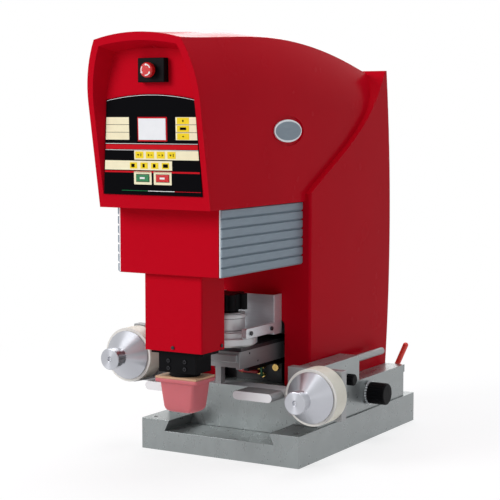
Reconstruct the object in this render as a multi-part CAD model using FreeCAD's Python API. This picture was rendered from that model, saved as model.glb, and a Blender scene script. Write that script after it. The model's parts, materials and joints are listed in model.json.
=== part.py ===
import FreeCAD, Part
import math
import os

# Benchtop pad printing machine: dovetail base, sliding pedestal, red column and head cowls, pad,
# ink cup, sliding printing plate and a pad-cleaning tape unit. Sizes are in millimetres.
# Pieces are drawn with X to the right, Y back from the base's front edge and Z up from its underside.
# On export they move back by half the base's depth, so the part's origin is the underside's centre.

V = FreeCAD.Vector
X_AXIS = V(1, 0, 0)
Y_AXIS = V(0, 1, 0)
Z_AXIS = V(0, 0, 1)

# Base and pedestal
BASE_WIDTH = 340.0
BASE_DEPTH = 496.0
BASE_HEIGHT = 58.4
GROOVE_TOP = 108.0
GROOVE_FLOOR = 118.0
GROOVE_FLOOR_Z = 37.8
SLIDE_GAP = 0.35
MOUNT_X = 152.0
MOUNT_INSET = 22.0
MOUNT_HOLE_R = 4.5
BUSH_R = 7.0
PEDESTAL_HALF = 166.0
PEDESTAL_FRONT = 86.0
PEDESTAL_REAR = 453.0
DECK_Z = 122.0

# Running clearance of shafts in their holes
RUN = 0.05
# Gap between pieces of one body that lie side by side
LAY = 0.2

# Adjusting knob and clamp lever
KNOB_Y = 287.0
KNOB_Z = 92.0
KNOB_R = 21.0
KNOB_END_X = 208.0
SPINDLE_R = 6.0
LEVER_PIVOT = V(135.0, PEDESTAL_REAR, 96.0)
LEVER_LEAN = math.radians(24.2)
LEVER_LENGTH = 71.0

# Cowls
WALL = 4.0
COLUMN_HALF = 124.0
COLUMN_FRONT = 126.0
SWEEP = [(126.0, 484.0), (232.0, 541.0), (322.0, 593.0), (390.0, 648.0), (441.0, 719.0)]
COLUMN_TOP_REAR = (458.0, 719.0)
COLUMN_REAR_MID = (479.0, 420.0)
COLUMN_REAR_FOOT = (463.0, DECK_Z + LAY)
DOOR_HALF = 70.0
DOOR_TOP = 247.0
DOOR_CORNER = 12.0
HEAD_HALF = 113.0
HEAD_CREASE_HALF = 87.0
HEAD_BOTTOM = 470.6
HEAD_SHOULDER = 106.0
HEAD_FRONT_LOW = -203.0
HEAD_FRONT_TOP = -252.0
HEAD_FRONT_CREASE = 755.0
HEAD_STATIONS = [(-120.0, 761.0, 772.0), (40.0, 767.0, 777.0), (200.0, 757.0, 766.0),
                 (340.0, 734.0, 742.0), (460.0, 706.0, 713.0)]
HEAD_CAVITY_FRONT = -196.0
RECESS_LOW_Y = -206.5
RECESS_TOP_Y = -213.5
RECESS_LOW_Z = 490.0
RECESS_TOP_Z = 745.0

# Badge dishes on the head's sides
BADGE_Y = 60.0
BADGE_Z = 601.0
BADGE_AXES = (50.0, 20.5)
DISH_AXES = (58.0, 27.0)

# Control panel
PANEL_LOW = 494.0
PANEL_SIDE_TOP = 655.0
PANEL_ARCH = 664.0
PANEL_LOW_HALF = 100.5
PANEL_TOP_HALF = 90.0
PANEL_THICK = 2.0
DISPLAY = (-24.0, 31.0, 587.5, 623.5)
KEY_HALF = 13.0
KEY_HEIGHT = 12.0
KEY_Z = 523.0
START_X = -18.0
STOP_X = 22.5
KEY_PROUD = 1.6
STOP_BOX = (-16.0, 37.5, 683.5, 724.0)
STOP_BOX_FRONT = -226.0
STOP_BUTTON_X = 10.7
STOP_BUTTON_Z = 703.5
STOP_BUTTON_R = 12.7

# Box under the head, with the pad's shroud below it
BOX_LOW = 354.0
BOX_FRONT = -160.0
BOX_HALF = 101.8
LOUVRE_OUT = 108.0
LOUVRE_RIBS = 7
SHROUD_HALF = 59.5
SHROUD_FRONT = -147.0
SHROUD_REAR = -71.0
SHROUD_LOW = 218.0
SHROUD_WALL = 3.0

# Pad and its drive
PAD_Y = -109.0
BEAM_LOW = 436.0
BEAM_TOP = 452.0
PISTON_R = 25.0
ROD_R = 8.0
GUIDE_X = 46.0
GUIDE_R = 6.0
ROD_TOP = 490.0

# Ink cup
CUP_Y = 35.0
PLATE_TOP = 208.0
CUP_FLANGE_R = 55.0
CUP_COLLAR_R = 46.0
CUP_NECK_R = 32.0
CUP_NECK_TOP = 268.0
STAR_TOP = 303.0

# Sliding plate holder
HOLDER_HALF = 52.0
HOLDER_FRONT = -8.0
HOLDER_REAR = 225.0
RAIL_X = 32.0
BED_TOP = 158.0

# Tape unit
BAR_IN = 55.0
BAR_OUT = 135.6
BAR_Z = 130.0
BAR_R = 8.0
BAR_FRONT = -38.0
REEL_PLATE_Y = 45.0
REEL_PLATE_THICK = 19.0
TAPE_ROD_X = 148.0
TAPE_ROD_Z = 159.0
TAPE_ROD_R = 7.0
TAPE_ROD_END = 385.0
ROLL_R = 51.5
ROLL_CORE_R = 38.0
ROLL_FRONT = 3.3
ROLL_REAR = 43.0
RIGHT_REEL = (192.0, 131.0)
LEFT_REEL = (-203.0, 175.0)
TAPE_THICK = 0.6
CLAMP_Y = 190.0
CLAMP_Z = 133.0

# Air tubes in the column's opening: x and z of their fittings
BED_FRONT = 150.0
TUBE_LOOPS = [((-36.0, 140.0), (2.0, 140.0), 3.5), ((11.5, 151.0), (11.5, 134.0), 2.5)]


def box(x0, x1, y0, y1, z0, z1):
    return Part.makeBox(x1 - x0, y1 - y0, z1 - z0, V(x0, y0, z0))


def cyl(radius, start, axis, length):
    return Part.makeCylinder(radius, length, V(*start), axis)


def fuse(shapes):
    whole = shapes[0]
    for shape in shapes[1:]:
        whole = whole.fuse(shape)
    return whole.removeSplitter()


def group(shapes):
    return Part.makeCompound(shapes)


def mirrored(shape):
    return shape.mirror(V(0, 0, 0), X_AXIS)


def pair(shape):
    return group([shape, mirrored(shape)])


def prism(points, axis, low, high):
    """A polygon drawn in the plane across axis, pulled from low to high along it."""
    place = {"x": lambda a, b: V(low, a, b), "y": lambda a, b: V(a, low, b), "z": lambda a, b: V(a, b, low)}
    pull = {"x": X_AXIS, "y": Y_AXIS, "z": Z_AXIS}[axis] * (high - low)
    corners = [place[axis](a, b) for a, b in points]
    return Part.Face(Part.makePolygon(corners + corners[:1])).extrude(pull)


def rounded(shape, radius, test):
    """Fillet the edges whose middle point passes the test."""
    def middle(edge):
        return edge.valueAt((edge.FirstParameter + edge.LastParameter) / 2)

    return shape.makeFillet(radius, [edge for edge in shape.Edges if test(middle(edge))])


def side_edges(shape, axis):
    """The straight edges of a shape that run along an axis."""
    def run(edge):
        return edge.Vertexes[-1].Point.sub(edge.Vertexes[0].Point)

    return [edge for edge in shape.Edges if run(edge).cross(axis).Length < 0.01]


def line(a, b):
    return Part.LineSegment(a, b).toShape()


def arc(a, middle, b):
    return Part.Arc(a, middle, b).toShape()


# Base and pedestal


def base_plate():
    slab = box(-BASE_WIDTH / 2, BASE_WIDTH / 2, 0, BASE_DEPTH, 0, BASE_HEIGHT)
    slab = slab.makeChamfer(1.0, side_edges(slab, Z_AXIS))
    groove = prism([(-GROOVE_TOP, BASE_HEIGHT), (GROOVE_TOP, BASE_HEIGHT),
                    (GROOVE_FLOOR, GROOVE_FLOOR_Z), (-GROOVE_FLOOR, GROOVE_FLOOR_Z)], "y", -1, BASE_DEPTH + 1)
    slab = slab.cut(groove)
    for x, y in mount_places():
        slab = slab.cut(cyl(BUSH_R, (x, y, -1), Z_AXIS, BASE_HEIGHT + 2))
    return slab


def mount_places():
    return [(x, y) for x in (-MOUNT_X, MOUNT_X) for y in (MOUNT_INSET, BASE_DEPTH - MOUNT_INSET)]


def mount_bushes():
    bushes = []
    for x, y in mount_places():
        bush = cyl(BUSH_R, (x, y, 0), Z_AXIS, BASE_HEIGHT)
        bushes.append(bush.cut(cyl(MOUNT_HOLE_R, (x, y, -1), Z_AXIS, BASE_HEIGHT + 2)))
    return group(bushes)


def pedestal():
    low = BASE_HEIGHT + SLIDE_GAP
    block = box(-PEDESTAL_HALF, PEDESTAL_HALF, PEDESTAL_FRONT, PEDESTAL_REAR, low, DECK_Z)
    block = block.makeChamfer(1.0, side_edges(block, Z_AXIS))
    top = GROOVE_TOP - 2 * SLIDE_GAP
    floor = GROOVE_FLOOR - 2 * SLIDE_GAP
    floor_z = GROOVE_FLOOR_Z + SLIDE_GAP
    tongue = prism([(-top, low), (top, low), (floor, floor_z), (-floor, floor_z)],
                   "y", PEDESTAL_FRONT, PEDESTAL_REAR)
    lip = box(-PEDESTAL_HALF, PEDESTAL_HALF, PEDESTAL_REAR, PEDESTAL_REAR + 4, DECK_Z - 15, DECK_Z)
    block = fuse([block, tongue, lip])
    block = block.cut(box(-85, 85, PEDESTAL_FRONT + 24, PEDESTAL_REAR - 24, 0, DECK_Z - 14))
    block = block.cut(cyl(SPINDLE_R + RUN, (PEDESTAL_HALF - 40, KNOB_Y, KNOB_Z), X_AXIS, 50))
    stud_hole = cyl(5.0 + RUN, (LEVER_PIVOT.x, PEDESTAL_REAR - 20, LEVER_PIVOT.z), Y_AXIS, 30)
    return block.cut(stud_hole)


def adjust_spindle():
    start = PEDESTAL_HALF - 39
    shaft = cyl(SPINDLE_R, (start, KNOB_Y, KNOB_Z), X_AXIS, PEDESTAL_HALF + 4 - start)
    collar = cyl(KNOB_R - 2, (PEDESTAL_HALF + 0.5, KNOB_Y, KNOB_Z), X_AXIS, 3.5)
    return fuse([shaft, collar])


def fluted_knob(radius, x0, x1, y, z, flutes):
    """A round grip on an X axis with scooped flutes and a rounded end."""
    grip = cyl(radius, (x0, y, z), X_AXIS, x1 - x0)
    grip = rounded(grip, 3.0, lambda p: abs(p.x - x1) < 0.1)
    scoop = radius * math.pi / flutes * 0.5
    for index in range(flutes):
        angle = 2 * math.pi * index / flutes
        reach = radius + scoop * 0.4
        place = (x0 - 1, y + reach * math.cos(angle), z + reach * math.sin(angle))
        grip = grip.cut(cyl(scoop, place, X_AXIS, x1 - x0 + 2))
    return grip


def adjust_knob():
    return fluted_knob(KNOB_R, PEDESTAL_HALF + 4, KNOB_END_X, KNOB_Y, KNOB_Z, 20)


def lever_direction():
    return V(math.sin(LEVER_LEAN), 0, math.cos(LEVER_LEAN))


def lever_hub():
    x, y, z = LEVER_PIVOT
    hub = cyl(9.0, (x, y + 0.4, z), Y_AXIS, 20)
    stud = cyl(5.0, (x, y - 19, z), Y_AXIS, 22)
    arm = cyl(4.0, (x, y + 12, z), lever_direction(), LEVER_LENGTH - 12)
    return fuse([hub, stud, arm])


def lever_grip():
    along = lever_direction()
    start = V(LEVER_PIVOT.x, LEVER_PIVOT.y + 12, LEVER_PIVOT.z) + along * 14
    sleeve = cyl(5.5, start, along, LEVER_LENGTH - 14)
    tip = V(start.x, start.y, start.z) + along * (LEVER_LENGTH - 14)
    sleeve = fuse([sleeve, Part.makeSphere(5.5, tip)])
    return sleeve.cut(cyl(4.0, start, along, LEVER_LENGTH - 26))


# Cowls


def column_face(sweep, front, top_rear, rear_mid, rear_foot):
    """The column's outline seen from the side: upright front, sweeping step, bowed rear."""
    points = [V(0, y, z) for y, z in sweep]
    curve = Part.BSplineCurve()
    curve.interpolate(points)
    foot = V(0, front, rear_foot[1])
    rear_top = V(0, *top_rear)
    rear_low = V(0, *rear_foot)
    edges = [line(foot, points[0]), curve.toShape(), line(points[-1], rear_top),
             arc(rear_top, V(0, *rear_mid), rear_low), line(rear_low, foot)]
    return Part.Face(Part.Wire(edges))


def across(face, half):
    """A side outline pulled to both sides of the middle plane."""
    moved = face.copy()
    moved.translate(V(-half, 0, 0))
    return moved.extrude(V(2 * half, 0, 0))


def column_block(half=COLUMN_HALF):
    face = column_face(SWEEP, COLUMN_FRONT, COLUMN_TOP_REAR, COLUMN_REAR_MID, COLUMN_REAR_FOOT)
    return across(face, half)


def column_outer():
    block = column_block()
    block = rounded(block, 12.0, lambda p: abs(abs(p.x) - COLUMN_HALF) < 0.1 and p.y > 459)
    return rounded(block, 5.0, lambda p: abs(abs(p.x) - COLUMN_HALF) < 0.1 and abs(p.y - COLUMN_FRONT) < 0.1)


def column_cavity():
    inner = [(y + 4, z - 5) for y, z in SWEEP]
    rear_mid = (COLUMN_REAR_MID[0] - WALL, COLUMN_REAR_MID[1])
    face = column_face(inner, COLUMN_FRONT + WALL, (COLUMN_TOP_REAR[0] - WALL, inner[-1][1]),
                       rear_mid, (COLUMN_REAR_FOOT[0] - WALL, DECK_Z - 1))
    return across(face, COLUMN_HALF - WALL)


def door_block():
    block = box(-DOOR_HALF, DOOR_HALF, COLUMN_FRONT - 10, COLUMN_FRONT + 10, DECK_Z - 10, DOOR_TOP)
    return rounded(block, DOOR_CORNER, lambda p: abs(abs(p.x) - DOOR_HALF) < 0.1 and abs(p.z - DOOR_TOP) < 0.1
                   and abs(p.y - COLUMN_FRONT) < 0.1)


def rear_window(gap):
    return box(-95 + gap, 95 - gap, 440, 500, 170 + gap, 640 - gap)


def column_shell():
    shell = column_outer().cut(column_cavity())
    shell = shell.cut(door_block())
    shell = shell.cut(box(-88, 88, COLUMN_FRONT - 10, COLUMN_FRONT + 10, 362, 465))
    shell = shell.cut(box(-78, 78, 150, 420, 490, 700))
    return shell.cut(rear_window(0))


def service_block():
    return box(-75, 75, 450, 482, 176, 214)


def rear_cover():
    panel = column_block().cut(column_cavity()).common(rear_window(0.5))
    return panel.cut(service_block())


def head_section(depth_at, half, crease_half, bottom, crease, crown, bottom_half=None):
    """A closed outline across the head: flat bottom, upright sides, turned-in shoulders, crowned top."""
    inset = half - crease_half
    radius = (inset ** 2 + HEAD_SHOULDER ** 2) / (2 * inset)
    middle_x = half - radius + math.sqrt(radius ** 2 - (HEAD_SHOULDER / 2) ** 2)
    foot = bottom_half or half

    def at(x, z):
        return V(x, depth_at(z), z)

    shoulder = crease - HEAD_SHOULDER
    right = [at(foot, bottom), at(half, shoulder), at(middle_x, crease - HEAD_SHOULDER / 2),
             at(crease_half, crease)]
    left = [V(-p.x, p.y, p.z) for p in right]
    edges = [line(left[0], right[0]), line(right[0], right[1]), arc(right[1], right[2], right[3]),
             arc(right[3], at(0, crown), left[3]), arc(left[3], left[2], left[1]), line(left[1], left[0])]
    return Part.Wire(edges)


def head_front_depth(z):
    share = (z - HEAD_BOTTOM) / (HEAD_FRONT_CREASE - HEAD_BOTTOM)
    return HEAD_FRONT_LOW + (HEAD_FRONT_TOP - HEAD_FRONT_LOW) * share


def recess_depth(z):
    share = (z - RECESS_LOW_Z) / (RECESS_TOP_Z - RECESS_LOW_Z)
    return RECESS_LOW_Y + (RECESS_TOP_Y - RECESS_LOW_Y) * share


def head_outer():
    front = head_section(head_front_depth, HEAD_HALF, HEAD_CREASE_HALF, HEAD_BOTTOM,
                         HEAD_FRONT_CREASE, HEAD_FRONT_CREASE + 11)
    wires = [front]
    for y, crease, crown in HEAD_STATIONS:
        wires.append(head_section(lambda z, y=y: y, HEAD_HALF, HEAD_CREASE_HALF, HEAD_BOTTOM, crease, crown))
    return Part.makeLoft(wires, True, False)


def head_cavity():
    stations = [(HEAD_CAVITY_FRONT, 757.0, 768.0)] + HEAD_STATIONS
    wires = []
    for y, crease, crown in stations:
        wires.append(head_section(lambda z, y=y: y, HEAD_HALF - WALL, HEAD_CREASE_HALF - WALL,
                                  HEAD_BOTTOM + WALL, crease - WALL, crown - WALL))
    return Part.makeLoft(wires, True, False)


def head_recess():
    mouth = head_section(lambda z: head_front_depth(z) - 3, 104.0, 79.0, 487.0, 745.0, 753.0)
    floor = head_section(recess_depth, 92.0, 70.0, RECESS_LOW_Z, 735.0, 741.0, 103.0)
    return Part.makeLoft([mouth, floor], True, True)


def side_oval(axes, x, thick):
    """Oval slab on the head's right side, centred on the badge."""
    centre = V(x, BADGE_Y, BADGE_Z)
    oval = Part.Ellipse(centre + V(0, axes[0], 0), centre + V(0, 0, axes[1]), centre)
    return Part.Face(Part.Wire([oval.toShape()])).extrude(V(thick, 0, 0))


def head_shell():
    shell = head_outer().cut(column_block(COLUMN_HALF + 6))
    shell = shell.cut(head_cavity()).cut(head_recess())
    shell = shell.cut(box(-96, 96, -148, COLUMN_FRONT, HEAD_BOTTOM - 2, HEAD_BOTTOM + WALL + 2))
    dish = side_oval(DISH_AXES, HEAD_HALF - 2, 10.0)
    shell = shell.cut(dish).cut(mirrored(dish))
    return max(shell.Solids, key=lambda solid: solid.Volume)


def side_badges():
    return pair(side_oval(BADGE_AXES, HEAD_HALF - 2, 3.0))


# Controls


def panel_wire(forward):
    def at(x, z):
        return V(x, recess_depth(z) - forward, z)

    corners = [at(-PANEL_LOW_HALF, PANEL_LOW), at(PANEL_LOW_HALF, PANEL_LOW),
               at(PANEL_TOP_HALF, PANEL_SIDE_TOP), at(-PANEL_TOP_HALF, PANEL_SIDE_TOP)]
    edges = [line(corners[0], corners[1]), line(corners[1], corners[2]),
             arc(corners[2], at(0, PANEL_ARCH), corners[3]), line(corners[3], corners[0])]
    return Part.Wire(edges)


def panel_front(z):
    """How far back the panel's front face lies at a height."""
    return recess_depth(z) - PANEL_THICK


def key_block(x, grow, front, back):
    return box(x - KEY_HALF - grow, x + KEY_HALF + grow, front, back,
               KEY_Z - KEY_HEIGHT / 2 - grow, KEY_Z + KEY_HEIGHT / 2 + grow)


def control_panel():
    plate = Part.Face(panel_wire(LAY)).extrude(V(0, -(PANEL_THICK - LAY), 0))
    for x in (START_X, STOP_X):
        plate = plate.cut(key_block(x, 0.4, -230, -200))
    return plate


def display_window():
    x0, x1, z0, z1 = DISPLAY
    low = panel_front(z0) - 0.05
    high = panel_front(z1) - 0.05
    return prism([(low, z0), (high, z1), (high - 1.2, z1), (low - 1.2, z0)], "x", x0, x1)


def push_key(x):
    front = panel_front(KEY_Z) - KEY_PROUD
    key = key_block(x, 0, front, front + 2.2)
    return rounded(key, 0.8, lambda p: abs(p.y - front) < 0.1)


def stop_box():
    x0, x1, z0, z1 = STOP_BOX
    body = prism([(recess_depth(z0) - LAY, z0), (STOP_BOX_FRONT, z0), (STOP_BOX_FRONT, z1),
                  (recess_depth(z1) - LAY, z1)], "x", x0, x1)
    body = rounded(body, 2.0, lambda p: abs(p.y - STOP_BOX_FRONT) < 0.1)
    return body.cut(cyl(8.0 + RUN, (STOP_BUTTON_X, STOP_BOX_FRONT - 5, STOP_BUTTON_Z), Y_AXIS, 16))


def stop_button():
    start = STOP_BOX_FRONT - 15
    cap = cyl(STOP_BUTTON_R, (STOP_BUTTON_X, start, STOP_BUTTON_Z), Y_AXIS, 10)
    cap = rounded(cap, 4.0, lambda p: abs(p.y - start) < 0.1)
    stem = cyl(8.0, (STOP_BUTTON_X, start + 9, STOP_BUTTON_Z), Y_AXIS, 12)
    return fuse([cap, stem])


# Box under the head


def under_box():
    """Folded sheet: the plate below the head and the tray behind it."""
    plate = box(-BOX_HALF, BOX_HALF, BOX_FRONT, BOX_FRONT + WALL, BOX_LOW, HEAD_BOTTOM - LAY)
    tray = box(-BOX_HALF, BOX_HALF, BOX_FRONT + WALL, COLUMN_FRONT - LAY, BOX_LOW, BOX_LOW + 3)
    inner = SHROUD_HALF - SHROUD_WALL
    tray = tray.cut(box(-inner, inner, SHROUD_FRONT + SHROUD_WALL, SHROUD_REAR - SHROUD_WALL, 300, 400))
    folded = fuse([plate, tray])
    return rounded(folded, 1.5, lambda p: abs(p.y - BOX_FRONT) < 0.1 and abs(p.z - BOX_LOW) < 0.1)


def side_louvres():
    """Ribbed side panels: flat-topped ribs with narrow grooves between them."""
    height = HEAD_BOTTOM - LAY - BOX_LOW
    pitch = height / LOUVRE_RIBS
    points = [(BOX_HALF + LAY, BOX_LOW)]
    for rib in range(LOUVRE_RIBS):
        low = BOX_LOW + pitch * rib
        points += [(LOUVRE_OUT - 3, low), (LOUVRE_OUT, low + 3), (LOUVRE_OUT, low + pitch - 1.5)]
        points += [(LOUVRE_OUT - 3, low + pitch - 1)]
    points.append((LOUVRE_OUT - 3, BOX_LOW + height))
    points.append((BOX_HALF + LAY, BOX_LOW + height))
    return pair(prism(points, "y", BOX_FRONT + 2, COLUMN_FRONT - LAY))


def pad_shroud():
    tube = box(-SHROUD_HALF, SHROUD_HALF, SHROUD_FRONT, SHROUD_REAR, SHROUD_LOW, BOX_LOW - 0.05)
    tube = tube.makeFillet(3.0, side_edges(tube, Z_AXIS))
    inner = SHROUD_HALF - SHROUD_WALL
    return tube.cut(box(-inner, inner, SHROUD_FRONT + SHROUD_WALL, SHROUD_REAR - SHROUD_WALL, 200, 400))


def button_screw(start, axis, radius):
    return cyl(radius, start, axis, radius * 0.7)


def shroud_screws():
    low = SHROUD_LOW + 7.5
    front = button_screw((0, SHROUD_FRONT, low), V(0, -1, 0), 3.2)
    side = button_screw((SHROUD_HALF, SHROUD_REAR - 12, low), X_AXIS, 3.2)
    return [front, side, mirrored(side)]


# Frame and pad drive


def machine_frame():
    """Two upright plates in the column and the beam that reaches forward into the head."""
    plate = box(80, 88, 145, 440, DECK_Z + LAY, 470)
    plate = plate.cut(box(70, 90, 200, 390, 200, 400))
    return fuse([plate, mirrored(plate), head_beam()])


def head_beam():
    beam = box(-80, 80, BOX_FRONT + WALL + 6, 430, BEAM_LOW, BEAM_TOP)
    beam = beam.cut(cyl(ROD_R + 3, (0, PAD_Y, BEAM_LOW - 1), Z_AXIS, 30))
    for x in (-GUIDE_X, GUIDE_X):
        beam = beam.cut(cyl(10.0, (x, PAD_Y, BEAM_LOW - 1), Z_AXIS, 30))
    return beam


def guide_bushes():
    body = cyl(10.0, (GUIDE_X, PAD_Y, BEAM_LOW - 8), Z_AXIS, BEAM_TOP - BEAM_LOW + 18)
    flange = cyl(12.5, (GUIDE_X, PAD_Y, BEAM_LOW - 8), Z_AXIS, 8)
    bore = cyl(GUIDE_R + RUN, (GUIDE_X, PAD_Y, BEAM_LOW - 20), Z_AXIS, 60)
    return pair(fuse([body, flange]).cut(bore))


def pad_cylinder():
    barrel = cyl(PISTON_R + 5, (0, PAD_Y, BEAM_TOP), Z_AXIS, 203)
    barrel = barrel.cut(cyl(PISTON_R + RUN, (0, PAD_Y, BEAM_TOP + 8), Z_AXIS, 187))
    return barrel.cut(cyl(ROD_R + RUN, (0, PAD_Y, BEAM_TOP - 1), Z_AXIS, 20))


def pad_rods():
    """Piston with its rod, and the two guide rods beside it."""
    low = 222.0
    rod = fuse([cyl(ROD_R, (0, PAD_Y, low), Z_AXIS, ROD_TOP - low),
                cyl(PISTON_R, (0, PAD_Y, ROD_TOP), Z_AXIS, 18)])
    guide = cyl(GUIDE_R, (GUIDE_X, PAD_Y, low), Z_AXIS, ROD_TOP - low)
    return group([rod, guide, mirrored(guide)])


def pad_holder():
    block = box(-38, 38, PAD_Y - 26, PAD_Y + 26, 179, 212)
    head = box(-54, 54, PAD_Y - 26, PAD_Y + 26, 212, 222)
    chuck = cyl(27.5, (0, PAD_Y, 172), Z_AXIS, 7)
    return fuse([block, head, chuck])


def pad_screws():
    screws = [button_screw((x, PAD_Y - 26, z), V(0, -1, 0), 3.4) for x in (-17, 17) for z in (187, 200)]
    return group(screws)


def pad_outline(half_x, half_y, corner, z):
    points = [(half_x - corner, half_y), (half_x, half_y - corner), (half_x, corner - half_y),
              (half_x - corner, -half_y), (corner - half_x, -half_y), (-half_x, corner - half_y),
              (-half_x, half_y - corner), (corner - half_x, half_y)]
    corners = [V(x, PAD_Y + y, z) for x, y in points]
    return Part.makePolygon(corners + corners[:1])


def pad_plate():
    return box(-42.5, 42.5, PAD_Y - 31, PAD_Y + 31, 168, 172)


def printing_pad():
    flange = box(-44, 44, PAD_Y - 32, PAD_Y + 32, 161.5, 168)
    body = Part.makeLoft([pad_outline(35, 28, 5, 162), pad_outline(31, 24.5, 6, 115)], True, True)
    crown = Part.makeLoft([pad_outline(31, 24.5, 6, 115), pad_outline(25, 18.5, 6, 107)], True, True)
    return fuse([flange, body, crown])


# Ink cup


def cup_cyl(radius, z0, z1):
    return cyl(radius, (0, CUP_Y, z0), Z_AXIS, z1 - z0)


def doctor_ring():
    return cup_cyl(50, PLATE_TOP + 0.3, 212).cut(cup_cyl(44, PLATE_TOP - 5, 220))


def ink_cup():
    flange = rounded(cup_cyl(CUP_FLANGE_R, 212, 224), 2.0, lambda p: abs(p.z - 224) < 0.1)
    collar = cup_cyl(CUP_COLLAR_R, 224, 233)
    neck = cup_cyl(CUP_NECK_R, 233, CUP_NECK_TOP)
    band = cup_cyl(CUP_NECK_R + 3, CUP_NECK_TOP - 9, CUP_NECK_TOP - 4)
    cup = fuse([flange, collar, neck, band])
    return cup.cut(cup_cyl(44, 200, 220)).cut(cup_cyl(6 + RUN, 236, CUP_NECK_TOP + 5))


def cup_star():
    star = cup_cyl(28, CUP_NECK_TOP + 6, STAR_TOP)
    for index in range(6):
        angle = math.radians(60 * index + 12)
        lobe = cyl(9.0, (29 * math.cos(angle), CUP_Y + 29 * math.sin(angle), CUP_NECK_TOP + 6), Z_AXIS,
                   STAR_TOP - CUP_NECK_TOP - 6)
        star = star.fuse(lobe)
    star = star.removeSplitter()
    return fuse([star, cup_cyl(20, CUP_NECK_TOP + 0.4, CUP_NECK_TOP + 7), cup_cyl(6, 237, CUP_NECK_TOP + 7)])


def cup_bracket():
    front = box(-63.5, 63.5, 97, 103, 222, 296)
    flange = box(57.5, 63.5, 102, COLUMN_FRONT - LAY, 222, 296)
    return fuse([front, flange, mirrored(flange)])


def cup_arms():
    arm = box(56, 66, -8, 97 - 0.05, 227, 245)
    return pair(arm.makeChamfer(1.5, side_edges(arm, X_AXIS)))


def arm_bolts():
    """Bolt heads on the arms, and the pins that steady the cup."""
    pin = cyl(4.0, (CUP_COLLAR_R + 0.3, CUP_Y, 228.5), X_AXIS, 56 - CUP_COLLAR_R - 0.3)
    bolts = [pin, mirrored(pin)]
    for y in (8, 82):
        bolt = button_screw((66, y, 236), X_AXIS, 4.0)
        bolts += [bolt, mirrored(bolt)]
    return bolts


# Sliding plate holder


def plate_holder():
    body = box(-HOLDER_HALF, HOLDER_HALF, HOLDER_FRONT, HOLDER_REAR, 170, 202)
    body = body.cut(box(-44, 44, HOLDER_FRONT + 6, HOLDER_REAR + 5, 165, 190))
    body = body.cut(box(-44, 44, HOLDER_FRONT - 5, HOLDER_FRONT + 10, 165, 173))
    post = box(0, 12, HOLDER_FRONT, HOLDER_FRONT + 14, 142, 174.5)
    return fuse([body, post])


def printing_plate():
    return box(-HOLDER_HALF, HOLDER_HALF, HOLDER_FRONT + 4, HOLDER_REAR, 202, PLATE_TOP)


def plate_clamp():
    bar = box(-HOLDER_HALF + 4, HOLDER_HALF - 4, HOLDER_FRONT - 6, HOLDER_FRONT, 183, 197)
    return bar.makeChamfer(1.2, side_edges(bar, X_AXIS))


def slide_bed():
    return box(-50, 50, BED_FRONT, 300, DECK_Z + LAY, BED_TOP)


def slide_rails():
    return pair(box(RAIL_X - 5, RAIL_X + 5, 48, 296, BED_TOP, 176))


def slide_carriages():
    blocks = []
    for y in (105, 160):
        block = box(RAIL_X - 10, RAIL_X + 10, y, y + 50, 163, 190)
        block = block.cut(box(RAIL_X - 5.3, RAIL_X + 5.3, y - 1, y + 51, 160, 176.3))
        blocks += [block, mirrored(block)]
    return group(blocks)


def slide_cylinder():
    barrel = cyl(9.0, (0, 95, 179), Y_AXIS, 195)
    foot = box(-6, 6, 272, 290, BED_TOP, 172)
    return fuse([barrel, foot]).cut(cyl(4.0 + RUN, (0, 90, 179), Y_AXIS, 190))


def slide_rod():
    return cyl(4.0, (0, HOLDER_FRONT + 6, 179), Y_AXIS, 200)


# Tape unit


def guide_bars():
    straight = box(BAR_IN + BAR_R, BAR_OUT - BAR_R, BAR_FRONT, REEL_PLATE_Y, BAR_Z - BAR_R, BAR_Z + BAR_R)
    ends = [cyl(BAR_R, (x, BAR_FRONT, BAR_Z), Y_AXIS, REEL_PLATE_Y - BAR_FRONT)
            for x in (BAR_IN + BAR_R, BAR_OUT - BAR_R)]
    return pair(fuse([straight] + ends))


def reel_plates():
    rear = REEL_PLATE_Y + REEL_PLATE_THICK
    right = box(122, 232, REEL_PLATE_Y, rear, 84, 175)
    left = box(LEFT_REEL[0] - 15, -122, REEL_PLATE_Y, rear, 120, LEFT_REEL[1] + 54)
    right = right.cut(cyl(8 + RUN, (RIGHT_REEL[0], 40, RIGHT_REEL[1]), Y_AXIS, 16))
    left = left.cut(cyl(8 + RUN, (LEFT_REEL[0], 40, LEFT_REEL[1]), Y_AXIS, 16))
    return group([right, left])


def tape_rods():
    rear = REEL_PLATE_Y + REEL_PLATE_THICK
    rod = cyl(TAPE_ROD_R, (TAPE_ROD_X, rear, TAPE_ROD_Z), Y_AXIS, TAPE_ROD_END - rear)
    return pair(rod.makeChamfer(1.0, [rod.Edges[0]]))


def rod_housings():
    block = box(127, 170, 72, 240, DECK_Z + LAY, 172)
    block = block.makeChamfer(1.0, side_edges(block, Y_AXIS))
    block = block.cut(cyl(TAPE_ROD_R + RUN, (TAPE_ROD_X, 60, TAPE_ROD_Z), Y_AXIS, 200))
    block = block.cut(cyl(3.0 + RUN, (150, CLAMP_Y, CLAMP_Z), X_AXIS, 30))
    return pair(block)


def clamp_knob():
    """Right-hand rod clamp: a small fluted grip on a steel-cored screw."""
    grip = fluted_knob(11.0, 172.0, 186.0, CLAMP_Y, CLAMP_Z, 10)
    return fuse([grip, cyl(3.0, (151, CLAMP_Y, CLAMP_Z), X_AXIS, 22)])


def reel_hub(centre):
    x, z = centre

    def turned(radius, y0, y1):
        return cyl(radius, (x, y0, z), Y_AXIS, y1 - y0)

    knob = rounded(turned(20.5, -57, -41), 2.0, lambda p: abs(p.y + 57) < 0.1)
    neck = turned(16, -42, -25)
    cone = Part.makeCone(16, 46, 26, V(x, -26, z), Y_AXIS)
    rim = turned(46, 0, 3)
    drum = turned(ROLL_CORE_R, 2, ROLL_REAR)
    spindle = turned(8, ROLL_REAR - 1, 55)
    return fuse([knob, neck, cone, rim, drum, spindle])


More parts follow.
